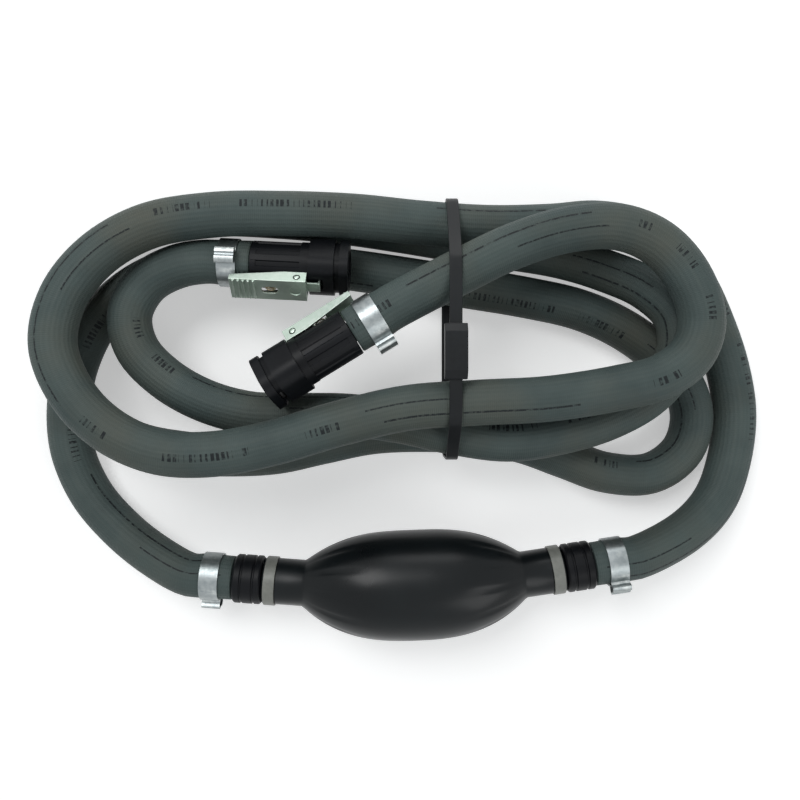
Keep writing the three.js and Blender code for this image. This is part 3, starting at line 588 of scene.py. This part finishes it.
FLOAT, VECTOR = "NodeSocketFloat", "NodeSocketVector"
GRAIN = node_group(
    "surface grain",
    [("Vector", VECTOR, None), ("Scale", FLOAT, 500.0)],
    [("Fine", FLOAT), ("Blotch", FLOAT)],
    build_grain,
)
EDGE_WEAR = node_group(
    "edge wear", [("Vector", VECTOR, None), ("Amount", FLOAT, 1.0)], [("Mask", FLOAT)], build_edge_wear
)
HOSE_PRINT = node_group(
    "hose print", [("Lay", VECTOR, None), ("Angle", FLOAT, 0.0)], [("Mask", FLOAT)], build_print
)


def new_material(name, **shader):
    material = bpy.data.materials.new(name)
    material.use_nodes = True
    tree = material.node_tree
    principled = tree.nodes["Principled BSDF"]
    for key, value in shader.items():
        principled.inputs[key.replace("_", " ").title().replace("Ior", "IOR")].default_value = value
    return material, tree, principled


def use_group(tree, group, **links):
    node = tree.nodes.new("ShaderNodeGroup")
    node.node_tree = group
    for key, value in links.items():
        if isinstance(value, bpy.types.NodeSocket):
            tree.links.new(value, node.inputs[key])
        else:
            node.inputs[key].default_value = value
    return node.outputs


def object_vector(tree):
    return tree.nodes.new("ShaderNodeTexCoord").outputs["Object"]


def add_bump(tree, principled, height, distance, strength=1.0):
    bump = wire(tree, "ShaderNodeBump", {"Height": height, "Strength": strength, "Distance": distance})
    tree.links.new(bump.outputs["Normal"], principled.inputs["Normal"])


def hose_rubber(name, print_angle):
    """Matt grey cover over braid: cloth impression, warm patches of painted reflection, faint long scuffs
    and a worn print.
    """
    material, tree, principled = new_material(name, specular_ior_level=0.2)
    lay = wire(tree, "ShaderNodeAttribute", attribute_name="lay").outputs["Vector"]
    grain = use_group(tree, GRAIN, Vector=lay, Scale=900.0)
    weave = cloth_impression(tree, lay)
    stretched = wire(tree, "ShaderNodeMapping", {"Vector": lay, "Scale": (900.0, 900.0, 40.0)}).outputs[0]
    scuff = wire(tree, "ShaderNodeTexNoise", {"Vector": stretched, "Scale": 1.0, "Detail": 3.0})
    scuff = scuff.outputs["Fac"]
    # painted reflection: coarse warm brownish patches stand in for tan light reflected onto the cover
    painted_reflection_noise = wire(tree, "ShaderNodeTexNoise", {"Vector": lay, "Scale": 22.0, "Detail": 5.0}).outputs["Fac"]
    cool = mix_colour(tree, grain["Blotch"], linear(79, 91, 89), linear(68, 80, 79))
    warm = mix_colour(tree, ramp(tree, painted_reflection_noise, 0.45, 0.7), cool, linear(86, 89, 81))
    woven = math_node(tree, "MULTIPLY", ramp(tree, weave, -1.0, 1.0), 0.3)
    tint = mix_colour(tree, woven, warm, linear(58, 67, 66))
    faint = math_node(tree, "MULTIPLY", ramp(tree, scuff, 0.45, 0.8), 0.2)
    streaked = mix_colour(tree, faint, tint, linear(98, 104, 99))
    mark = use_group(tree, HOSE_PRINT, Lay=lay, Angle=print_angle)["Mask"]
    colour = mix_colour(tree, mark, streaked, linear(24, 29, 31))
    tree.links.new(colour, principled.inputs["Base Color"])
    rough = spread(tree, grain["Fine"], 0.5, 0.68)
    tree.links.new(rough, principled.inputs["Roughness"])
    grit = math_node(tree, "MULTIPLY", grain["Fine"], 0.8)
    height = math_node(tree, "ADD", math_node(tree, "MULTIPLY", weave, 0.5), grit)
    add_bump(tree, principled, height, 0.00014, 0.8)
    return material


def cloth_impression(tree, lay):
    """The close diagonal ridges that the curing wrap leaves in the cover."""
    parts = wire(tree, "ShaderNodeSeparateXYZ", {0: lay})
    around = math_node(tree, "ARCTAN2", parts.outputs["Y"], parts.outputs["X"])
    crossing = []
    for lean in (WEAVE_LEAN, -WEAVE_LEAN):
        forward = math_node(tree, "MULTIPLY", parts.outputs["Z"], WEAVE_PER_METRE)
        phase = math_node(tree, "ADD", forward, math_node(tree, "MULTIPLY", around, lean))
        crossing.append(math_node(tree, "SINE", phase))
    return math_node(tree, "MULTIPLY", crossing[0], crossing[1])


def moulded(name, dark, light, roughness, grain_scale=700.0, bump=0.00006, **shader):
    """Moulded rubber or plastic with a fine grain and slightly uneven gloss."""
    material, tree, principled = new_material(name, **shader)
    vector = object_vector(tree)
    grain = use_group(tree, GRAIN, Vector=vector, Scale=grain_scale)
    wear = use_group(tree, EDGE_WEAR, Vector=vector, Amount=0.5)["Mask"]
    base = mix_colour(tree, grain["Blotch"], dark, light)
    rubbed = [min(1, c * WORN_EDGE_GAIN) for c in light[:3]] + [1]
    tree.links.new(mix_colour(tree, wear, base, rubbed), principled.inputs["Base Color"])
    rough = spread(tree, grain["Blotch"], roughness - 0.05, roughness + 0.06)
    tree.links.new(rough, principled.inputs["Roughness"])
    add_bump(tree, principled, grain["Fine"], bump, 0.4)
    return material


def metal(name, colour, dull, roughness, streaks=(2400.0, 200.0, 200.0), bump=0.00003):
    """Rolled or plated steel: drawn lines, dull blotches and brighter edges."""
    material, tree, principled = new_material(name, metallic=1.0)
    vector = object_vector(tree)
    grain = use_group(tree, GRAIN, Vector=vector, Scale=900.0)
    drawn = wire(tree, "ShaderNodeMapping", {"Vector": vector, "Scale": streaks}).outputs[0]
    lines = wire(tree, "ShaderNodeTexNoise", {"Vector": drawn, "Scale": 1.0, "Detail": 4.0}).outputs["Fac"]
    wear = use_group(tree, EDGE_WEAR, Vector=vector, Amount=0.6)["Mask"]
    base = mix_colour(tree, grain["Blotch"], colour, dull)
    tree.links.new(mix_colour(tree, wear, base, linear(225, 228, 224)), principled.inputs["Base Color"])
    rough = spread(tree, lines, roughness - 0.08, roughness + 0.12)
    tree.links.new(rough, principled.inputs["Roughness"])
    add_bump(tree, principled, lines, bump, 0.5)
    return material


HOSE_A_RUBBER = hose_rubber("grey hose cover a", 1.9)
HOSE_B_RUBBER = hose_rubber("grey hose cover b", 2.2)
BULB_RUBBER = moulded(
    "black bulb rubber", linear(9, 12, 14), linear(14, 19, 21), 0.3, 500.0, 0.00002, specular_ior_level=0.22
)
CONNECTOR_PLASTIC = moulded(
    "black connector plastic", linear(9, 10, 13), linear(16, 18, 21), 0.42, specular_ior_level=0.14
)
TIE_NYLON = moulded(
    "black tie nylon", linear(12, 14, 16), linear(22, 25, 27), 0.4, 500.0, specular_ior_level=0.2
)
RING_MATERIAL = moulded("pale neck ring", linear(104, 106, 102), linear(126, 128, 121), 0.4)
SEAL_RUBBER = moulded("seal rubber", linear(24, 24, 25), linear(32, 32, 33), 0.6)
VALVE_PLASTIC = moulded("white valve plastic", linear(212, 212, 204), linear(226, 226, 220), 0.4)
CLAMP_STEEL = metal("stainless clamp band", linear(150, 156, 158), linear(120, 127, 128), 0.34)
PLATED_STEEL = metal("plated lever steel", linear(190, 204, 192), linear(168, 184, 172), 0.36, bump=0.00001)
SPRING_STEEL = metal("spring wire", linear(186, 170, 140), linear(150, 136, 110), 0.3)


# ---- hoses ----
def hose_radius(s, length):
    """The hose is nipped by the clamp at each end and swells a little beside it."""
    radius = HOSE_OUTER / 2
    for near in (s, length - s):
        band = near - CLAMP_SETBACK
        if NIP_MARGIN < band < CLAMP_WIDTH - NIP_MARGIN:
            radius -= CLAMP_NIP
        for edge, aside in ((0, SWELL_REACH), (CLAMP_WIDTH, -SWELL_REACH)):
            radius += SWELL_HEIGHT * math.exp(-((band - edge + aside) ** 2) / SWELL_REACH)
    return radius


def make_hose(name, points, material):
    curve = smooth_curve(points)
    frames, length = stations(curve, HOSE_STEP)
    step = length / (len(frames) - 1)
    rings, along = [], []
    wall_end = HOSE_BORE / 2

    def add(frame_matrix, radius, s):
        rings.append((frame_matrix, radius))
        along.append(s)

    inward = Matrix.Translation((BORE_SHOWN, 0, 0))
    rounded = Matrix.Translation((HOSE_ROUNDING, 0, 0))
    add(frames[0] @ inward, wall_end - BORE_TAPER, BORE_SHOWN)
    add(frames[0], wall_end, 0)
    add(frames[0], HOSE_OUTER / 2 - HOSE_ROUNDING, 0)
    add(frames[0] @ rounded, HOSE_OUTER / 2, HOSE_ROUNDING)
    for i, place in enumerate(frames[1:-1], 1):
        add(place, hose_radius(i * step, length), i * step)
    add(frames[-1] @ rounded.inverted(), HOSE_OUTER / 2, length - HOSE_ROUNDING)
    add(frames[-1], HOSE_OUTER / 2 - HOSE_ROUNDING, length)
    add(frames[-1], wall_end, length)
    add(frames[-1] @ inward.inverted(), wall_end - BORE_TAPER, length - BORE_SHOWN)
    bm, loops = ring_tube(rings, HOSE_SIDES)
    lay = bm.verts.layers.float_vector["lay"]
    for (place, _), s, loop in zip(rings, along, loops):
        back = place.inverted()
        for vert in loop:
            spot = back @ vert.co
            vert[lay] = Vector((spot.y, spot.z, s)) * MM
    node = name.replace("_cover", "")
    obj = make(name, bm, Matrix.Identity(4), material, stands_for=(node,), sharp=60)


# ---- ear clamps ----
def ear_outline(radius, half_width, top):
    """A band with one pinched ear: narrow at its root, widest below its rounded top."""
    root = half_width - EAR_PINCH
    start = math.pi / 2 + math.asin(root / radius)
    sweep = 2 * math.pi - 2 * math.asin(root / radius)
    angles = [start + sweep * i / 60 for i in range(61)]
    band = [(radius * math.cos(angle), radius * math.sin(angle)) for angle in angles]
    flank = [(root, EAR_ROOT_SHARE)] + [(half_width - inset, share) for inset, share in EAR_FLANK]
    right = [(y, radius + (top - radius) * share) for y, share in flank]
    left = [(-y, z) for y, z in right[::-1]]
    return band + right + left


def make_clamp(name, place, start, ear):
    inner = HOSE_OUTER / 2 + GAP
    outer = inner + CLAMP_BAND
    top = outer + EAR_HEIGHT
    outside = along_x(ear_outline(outer, EAR_WIDTH / 2, top), 0, CLAMP_WIDTH)
    inside = ear_outline(inner, EAR_WIDTH / 2 - CLAMP_BAND, top - CLAMP_BAND)
    hollow = along_x(inside, -1, CLAMP_WIDTH + 1)
    dent = rod(EAR_DENT_RADIUS, -1, CLAMP_WIDTH + 1, top + EAR_DENT_RISE, 24)
    bm = cut(outside, hollow, dent)
    turn = Matrix.Translation((start, 0, 0)) @ Matrix.Rotation(-math.radians(ear), 4, "X")
    return make(name + "_band", bm, place @ turn, CLAMP_STEEL, stands_for=(name,), edge=0.12)


# ---- the primer bulb and its valves ----
def bulb_radius(x):
    part = min(1, abs(x) / (BULB_BODY / 2))
    return NECK_OUTER / 2 + (BULB_OUTER - NECK_OUTER) / 2 * (1 - part**BULB_SWELL)


def make_bulb():
    half = BULB_LENGTH / 2
    groove_end = half - RING_SETBACK + GAP
    groove_start = groove_end - RING_WIDTH - 2 * GAP
    bore, neck, waist = NECK_BORE / 2, NECK_OUTER / 2, NECK_OUTER / 2 - RING_GROOVE
    left = [
        (-half + NECK_BORE_SHOWN, bore - NECK_BORE_TAPER), (-half, bore), (-half, neck - NECK_ROUNDING),
        (-half + NECK_ROUNDING, neck), (-groove_end, neck), (-groove_end, waist),
        (-groove_start, waist), (-groove_start, neck),
    ]
    steps = math.ceil(BULB_BODY / 2 / BULB_STEP)
    body = [(i * BULB_STEP, bulb_radius(i * BULB_STEP)) for i in range(-steps, steps + 1)]
    profile = left + body + [(-x, radius) for x, radius in left[::-1]]
    rings = []
    for x, radius in profile:
        centre, angle = bow_at(x)
        rings.append((Matrix.Translation(centre) @ Matrix.Rotation(angle, 4, "Z"), radius))
    bm, loops = ring_tube(rings, BULB_SIDES)
    for (x, _), (place, _), loop in zip(profile, rings, loops):
        shoulder = math.exp(-(((abs(x) - FLUTE_X) / FLUTE_REACH) ** 2))
        if shoulder < FLUTE_FAINTEST or abs(x) > FLUTE_END:
            continue
        back = place.inverted()
        for vert in loop:
            spot = back @ vert.co
            around = math.atan2(spot.z, spot.y)
            groove = max(0, math.cos(FLUTES * around)) ** 6
            shrink = 1 - FLUTE_DEPTH * groove * shoulder
            vert.co = place @ Vector((spot.x, spot.y * shrink, spot.z * shrink))
    make("primer_bulb_rubber", bm, BULB_PLACE, BULB_RUBBER, stands_for=("primer_bulb",), sharp=40)


def barb(start, outward):
    """The toothed stem, as [x, radius] pairs outward from start."""
    tip = HOSE_BORE / 2 - GAP
    stem = tip - BARB_TOOTH
    pitch = BARB_LENGTH / (BARB_COUNT + 0.5)
    profile = [(start, stem)]
    for i in range(1, BARB_COUNT + 1):
        ridge = pitch * i
        for reach, radius in ((ridge - 0.4, stem), (ridge, tip), (ridge + pitch * 0.7, stem)):
            profile.append((start + outward * reach, radius))
    profile.append((start + outward * BARB_LENGTH, stem - 0.3))
    return profile


def make_neck(name, spec):
    place = PLACES[name]
    spigot = NECK_BORE / 2 - GAP
    collar = COLLAR_OUTER / 2
    profile = [(-SPIGOT_LENGTH, 0), (-SPIGOT_LENGTH, spigot), (GAP, spigot)]
    profile += [(GAP, collar - COLLAR_CHAMFER), (GAP + COLLAR_CHAMFER, collar)]
    for centre in COLLAR_GROOVES:
        profile += [(centre + reach, collar - depth) for reach, depth in COLLAR_GROOVE_SHAPE]
    profile += [(COLLAR_LENGTH - COLLAR_CHAMFER, collar), (COLLAR_LENGTH, collar - COLLAR_CHAMFER)]
    profile += barb(COLLAR_LENGTH, 1)
    profile.append((COLLAR_LENGTH + BARB_LENGTH, 0))
    make(
        name + "_valve_collar", turned(profile), place, CONNECTOR_PLASTIC,
        stands_for=(name + "_valve_body",), edge=0.15,
    )
    inner = NECK_OUTER / 2 - RING_GROOVE + GAP
    start, end = -RING_SETBACK - RING_WIDTH, -RING_SETBACK
    band = [(start, inner), (start, inner + RING_THICK), (end, inner + RING_THICK), (end, inner)]
    make(
        name + "_ring_band", turned(band, closed=True), place, RING_MATERIAL,
        stands_for=(name + "_neck_ring",), edge=0.2,
    )
    make_clamp("clamp_" + name, place, HOSE_FACE + CLAMP_SETBACK, spec["ear"])


# ---- quick connectors ----
def hub_outline():
    """The ribbed section of a hub: each rib's crown, then the groove beside it."""
    pitch = 2 * math.pi / HUB_RIBS
    shares = [(share, HUB_OUTER / 2) for share in RIB_CROWN] + [(share, HUB_TOP) for share in RIB_GROOVE]
    outline = []
    for i in range(HUB_RIBS):
        middle = 2 * math.pi * i / HUB_RIBS
        for share, radius in shares:
            angle = middle + share * pitch
            outline.append((radius * math.cos(angle), radius * math.sin(angle)))
    return outline


def connector_body():
    tail = turned([(-BARB_LENGTH, 0)] + barb(0, -1)[::-1] + [(1, 4), (1, 0)], 48)
    hub = along_x(hub_outline(), 0.3, HEAD_START + 1)
    collar = rod(HUB_OUTER / 2 - 0.15, 0, 2.2)
    shoulder = rod(HUB_OUTER / 2 + 0.25, HUB_LENGTH - 3, HEAD_START + 0.5)
    flange_start = HEAD_END - HEAD_FLANGE
    box = rounded_box(HEAD_HALF_WIDTH, HEAD_HALF_HEIGHT, HEAD_CORNER)
    waist = rounded_box(
        HEAD_HALF_WIDTH - HEAD_NECK_DEPTH, HEAD_HALF_HEIGHT - HEAD_NECK_DEPTH, HEAD_CORNER - HEAD_NECK_DEPTH
    )
    foot = LEVER_PIN + 0.6
    reach = LEVER_TOP - LEVER_SHEET - LEVER_PIVOT_HEIGHT - 2 * GAP
    lug = across_y(
        [
            (LEVER_PIVOT_X - foot, HUB_TOP - 3),
            (LEVER_PIVOT_X + foot, HUB_TOP - 3),
            (LEVER_PIVOT_X + foot, HUB_TOP + 0.4),
            (LEVER_PIVOT_X + LEVER_PIN, LEVER_PIVOT_HEIGHT + reach),
            (LEVER_PIVOT_X - LEVER_PIN, LEVER_PIVOT_HEIGHT + reach),
            (LEVER_PIVOT_X - foot, HUB_TOP + 0.4),
        ],
        LEVER_WIDTH - 2 * LEVER_SHEET - 2 * GAP,
    )
    whole = join(
        hub, tail, collar, shoulder,
        along_x(box, flange_start, HEAD_END),
        along_x(waist, flange_start - 2.5, flange_start + 0.5),
        along_x(box, HEAD_START, flange_start - 2),
        lug,
    )
    groove = PORT_BORE / 2 + O_RING_SECTION / 2 + GAP
    middle = HEAD_END - O_RING_INSET
    slot_floor = HOOK_TOP - LEVER_SHEET - HOOK_DIP - GAP
    return cut(
        whole,
        rod(PORT_BORE / 2, PORT_FLOOR, HEAD_END + 1, -PORT_DROP),
        rod(SEAT_BORE / 2, SEAT_BACK - 0.5, PORT_FLOOR + 0.5, -PORT_DROP),
        rod(POPPET_CHAMBER / 2, CHAMBER_BACK, SEAT_BACK, -PORT_DROP),
        rod(groove, middle - O_RING_SECTION / 2 - GAP, middle + O_RING_SECTION / 2 + GAP, -PORT_DROP),
        rod(PIN_HOLE / 2, HEAD_END - PIN_HOLE_DEPTH, HEAD_END + 1, PIN_HOLE_RISE, 32),
        block(
            HEAD_START - 1, LEVER_FRONT + HOOK_REACH + 3 * GAP, HOOK_WIDTH + 2 * GAP, slot_floor, LEVER_TOP
        ),
        block(HEAD_START - 1, HEAD_START, LEVER_WIDTH + 2 * GAP, HUB_TOP, LEVER_TOP),
        along_z(
            circle(LEVER_SPRING_OUTER / 2 + GAP, 32, (OVAL_HOLE_X, 0)), HUB_TOP - SPRING_SEAT, LEVER_TOP
        ),
        across_y(circle(LEVER_PIN / 2 + GAP, 24, (LEVER_PIVOT_X, LEVER_PIVOT_HEIGHT)), LEVER_WIDTH),
    )


def lever():
    under = LEVER_TOP - LEVER_SHEET
    wall = [
        (LEVER_BACK, LEVER_TOP),
        (LEVER_BACK, LEVER_TOP - LEVER_WALL_TAIL),
        (LEVER_PIVOT_X - LEVER_WALL_STEP, LEVER_TOP - LEVER_WALL_PIVOT),
        (LEVER_FRONT, LEVER_TOP - LEVER_WALL_PIVOT),
        (LEVER_FRONT, LEVER_TOP),
    ]
    room = block(LEVER_BACK - 1, LEVER_FRONT + 1, LEVER_WIDTH - 2 * LEVER_SHEET, 0, under)
    channel = cut(across_y(wall, LEVER_WIDTH), room)
    tip = LEVER_FRONT + HOOK_REACH
    extras = [
        block(LEVER_FRONT - LEVER_SHEET, LEVER_FRONT, LEVER_WIDTH, HOOK_TOP - LEVER_SHEET, under + 0.1),
        block(LEVER_FRONT - 0.5, tip, HOOK_WIDTH, HOOK_TOP - LEVER_SHEET, HOOK_TOP),
        block(tip - LEVER_SHEET, tip, HOOK_WIDTH, HOOK_TOP - LEVER_SHEET - HOOK_DIP, HOOK_TOP),
    ]
    for i in range(RIDGES):
        x = LEVER_BACK + RIDGE_START + RIDGE_PITCH * i
        ridge = [(x, under + 0.2), (x + RIDGE_WIDTH, under + 0.2)]
        ridge += [(x + reach, LEVER_TOP + rise) for reach, rise in RIDGE_CROWN]
        extras.append(across_y(ridge, LEVER_WIDTH - 1))
    half = (OVAL_HOLE_LENGTH - OVAL_HOLE_WIDTH) / 2
    radius = OVAL_HOLE_WIDTH / 2
    oval = []
    for i in range(33):
        angle = 2 * math.pi * i / 32 - math.pi / 2
        side = half if i <= 16 else -half
        oval.append((OVAL_HOLE_X + side + radius * math.cos(angle), radius * math.sin(angle)))
    cuts = [
        along_z(oval, under - 1, LEVER_TOP + 1),
        along_z(circle(DIMPLE_RADIUS, 32, (DIMPLE_X, 0)), LEVER_TOP - DIMPLE_DEPTH, LEVER_TOP + 1),
        across_y(circle(LEVER_PIN / 2 + GAP, 24, (LEVER_PIVOT_X, LEVER_PIVOT_HEIGHT)), LEVER_WIDTH + 2),
    ]
    return cut(join(channel, *extras), *cuts)


def coil_spring(outer, wire_size, turns, length):
    """A coil along z from 0."""
    radius = (outer - wire_size) / 2
    points = []
    for i in range(turns * 20 + 1):
        angle = 2 * math.pi * i / 20
        rise = wire_size / 2 + (length - wire_size) * i / (turns * 20)
        points.append(Vector((radius * math.cos(angle), radius * math.sin(angle), rise)))
    frames, _ = stations(points, 0.7)
    return ring_tube([(place, wire_size / 2) for place in frames], 12)[0]


def press(coil):
    """Gives the coil its own copy of its mesh."""
    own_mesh(coil)


def make_connector(label, spec):
    place = PLACES[label]
    prefix = f"connector_{label}_"
    body = make(
        prefix + "housing", connector_body(), place, CONNECTOR_PLASTIC,
        stands_for=(prefix + "body",), edge=0.22,
    )
    handle = make(
        prefix + "latch_lever", lever(), place, PLATED_STEEL, body=f"latch_{label}",
        stands_for=(prefix + "lever",), edge=0.14,
    )
    half = LEVER_WIDTH / 2
    ends = ((half + 0.1, 1), (half + GAP, 0.7), (half + GAP, 0))
    pin = [(-x, radius) for x, radius in ends[::-1]] + list(ends)
    pivot = Matrix.Translation((LEVER_PIVOT_X, 0, LEVER_PIVOT_HEIGHT)) @ Matrix.Rotation(math.pi / 2, 4, "Z")
    make(
        prefix + "pivot_pin", turned(pin, 32), place @ pivot, PLATED_STEEL,
        stands_for=(prefix + "lever_pin",),
    )
    foot = HUB_TOP - SPRING_SEAT + GAP
    height = LEVER_TOP - LEVER_SHEET - GAP - foot
    stand = place @ Matrix.Translation((OVAL_HOLE_X, 0, foot))
    spring = coil_spring(LEVER_SPRING_OUTER, LEVER_SPRING_WIRE, LEVER_SPRING_TURNS, height)
    lever_coil = make(
        prefix + "lever_coil", spring, stand, SPRING_STEEL,
        stands_for=(prefix + "lever_spring",),
    )
    press(lever_coil)
    back = CHAMBER_BACK + GAP
    room = SEAT_BACK - GAP - POPPET_HEAD_LENGTH - GAP - back
    seat = place @ Matrix.Translation((back, 0, -PORT_DROP)) @ Matrix.Rotation(math.pi / 2, 4, "Y")
    spring = coil_spring(POPPET_SPRING_OUTER, POPPET_SPRING_WIRE, POPPET_SPRING_TURNS, room)
    poppet_coil = make(
        prefix + "poppet_coil", spring, seat, SPRING_STEEL,
        stands_for=(prefix + "poppet_spring",),
    )
    press(poppet_coil)
    section = O_RING_SECTION / 2
    angles = [math.pi * i / 8 for i in range(16)]
    seal = [(section * math.cos(angle), PORT_BORE / 2 + section * math.sin(angle)) for angle in angles]
    groove = place @ Matrix.Translation((HEAD_END - O_RING_INSET, 0, -PORT_DROP))
    make(
        prefix + "seal", turned(seal, 48, closed=True), groove, SEAL_RUBBER,
        stands_for=(prefix + "o_ring",),
    )
    start = -GAP - CLAMP_SETBACK - CLAMP_WIDTH
    band = make_clamp(f"clamp_connector_{label}", place, start, spec["ear"] - spec["roll"])
    return [body, handle, band]


# ---- the cable tie ----
def tie_outline(curves, radius):
    """The tight loop round every strand that crosses the tie's plane."""
    bm = bmesh.new()
    for frames in curves:
        for place in frames:
            centre = place.translation
            if abs(centre.x - TIE_X - FRAME_SHIFT.x) > TIE_WIDTH / 2 + 1:
                continue
            for y, z in circle(radius, 32):
                bm.verts.new((0, centre.y + y, centre.z + z))
    hull = bmesh.ops.convex_hull(bm, input=bm.verts)["geom"]
    kept = [item for item in hull if isinstance(item, bmesh.types.BMVert)]
    middle = sum((vert.co for vert in kept), Vector()) / len(kept)
    corners = [(vert.co.y, vert.co.z) for vert in kept]
    outline = sorted(corners, key=lambda p: math.atan2(p[1] - middle.z, p[0] - middle.y))
    bm.free()
    return outline


def make_tie(curves):
    inner = HOSE_OUTER / 2 + GAP
    x = TIE_X + FRAME_SHIFT.x
    start, end = x - TIE_WIDTH / 2, x + TIE_WIDTH / 2
    outline = tie_outline(curves, inner + TIE_THICK)
    loop = cut(along_x(outline, start, end), along_x(tie_outline(curves, inner), start - 1, end + 1))
    top = max(z for _, z in outline)
    half = TIE_HEAD_LENGTH / 2
    bottom = top - TIE_THICK - TIE_HEAD_SINK
    middle = TIE_HEAD_Y + FRAME_SHIFT.y
    side = [
        (-half, 0), (half, 0), (half, TIE_HEAD_HEIGHT * 0.6), (half - TIE_HEAD_TAPER, TIE_HEAD_HEIGHT),
        (TIE_HEAD_TAPER - half, TIE_HEAD_HEIGHT), (-half, TIE_HEAD_HEIGHT * 0.6),
    ]
    head = along_x(
        [(middle + y, bottom + z) for y, z in side], x - TIE_HEAD_WIDTH / 2, x + TIE_HEAD_WIDTH / 2
    )
    make(
        "cable_tie_strap", join(loop, head), Matrix.Identity(4), TIE_NYLON,
        stands_for=("cable_tie",), edge=0.25,
    )


# ---- studio ----
def in_view(tree):
    """1 for what is seen straight, mirrored or through something, and 0 for light falling on the object."""
    path = tree.nodes.new("ShaderNodeLightPath").outputs
    mirrored = math_node(tree, "MAXIMUM", path["Is Glossy Ray"], path["Is Transmission Ray"])
    return math_node(tree, "MAXIMUM", path["Is Camera Ray"], mirrored)


def studio():
    bpy.ops.mesh.primitive_plane_add(size=6)
    floor = bpy.context.object
    floor.name = "floor"
    material, tree, principled = new_material("pale floor", base_color=(0.86, 0.87, 0.87, 1), roughness=0.9)
    principled.inputs["Emission Color"].default_value = (1, 1, 1, 1)
    glow = math_node(tree, "MULTIPLY", in_view(tree), FLOOR_GLOW)
    tree.links.new(glow, principled.inputs["Emission Strength"])
    floor.data.materials.append(material)
    world = bpy.data.worlds.new("studio")
    bpy.context.scene.world = world
    world.use_nodes = True
    background = world.node_tree.nodes["Background"]
    background.inputs["Color"].default_value = (0.96, 0.985, 1, 1)
    level = spread(world.node_tree, in_view(world.node_tree), WORLD_LIGHT, 1.0)
    world.node_tree.links.new(level, background.inputs["Strength"])
    for name, place, size, power in LAMPS:
        light = bpy.data.lights.new(name, "AREA")
        light.size = size
        light.energy = power
        lamp = bpy.data.objects.new(name, light)
        lamp.location = place
        lamp.rotation_euler = (-Vector(place)).to_track_quat("-Z", "Y").to_euler()
        bpy.context.scene.collection.objects.link(lamp)


def camera():
    data = bpy.data.cameras.new("camera")
    data.lens = 35
    data.sensor_width = 36
    data.clip_start = 0.01
    obj = bpy.data.objects.new("camera", data)
    obj.location = (CAMERA_AT[0] * MM, CAMERA_AT[1] * MM, CAMERA_HEIGHT * MM)
    bpy.context.scene.collection.objects.link(obj)
    bpy.context.scene.camera = obj
    bpy.context.scene.view_settings.view_transform = "Standard"


def dress_hidden_nodes():
    """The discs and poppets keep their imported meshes, in white plastic."""
    for name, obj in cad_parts.items():
        if name.endswith(("check_disc", "poppet")):
            obj.data.materials.clear()
            obj.data.materials.append(VALVE_PLASTIC)


camera()
housings = {label: make_connector(label, spec) for label, spec in CONNECTORS.items()}
POINTS_A = route(end_points(PLACES["a"], -GAP, -1), ROUTE_A, end_points(PLACES["outlet"], HOSE_FACE, 1))
POINTS_B = route(end_points(PLACES["inlet"], HOSE_FACE, 1), ROUTE_B, end_points(PLACES["b"], -GAP, -1))
for label, points, material, neck in (
    ("a", POINTS_A[::-1], HOSE_A_RUBBER, "outlet"),
    ("b", POINTS_B, HOSE_B_RUBBER, "inlet"),
):
    make_hose(f"hose_{label}_cover", points, material)
make_bulb()
for name, spec in NECKS.items():
    make_neck(name, spec)
make_tie([stations(smooth_curve(points), 1.0)[0] for points in (POINTS_A, POINTS_B)])
dress_hidden_nodes()
studio()
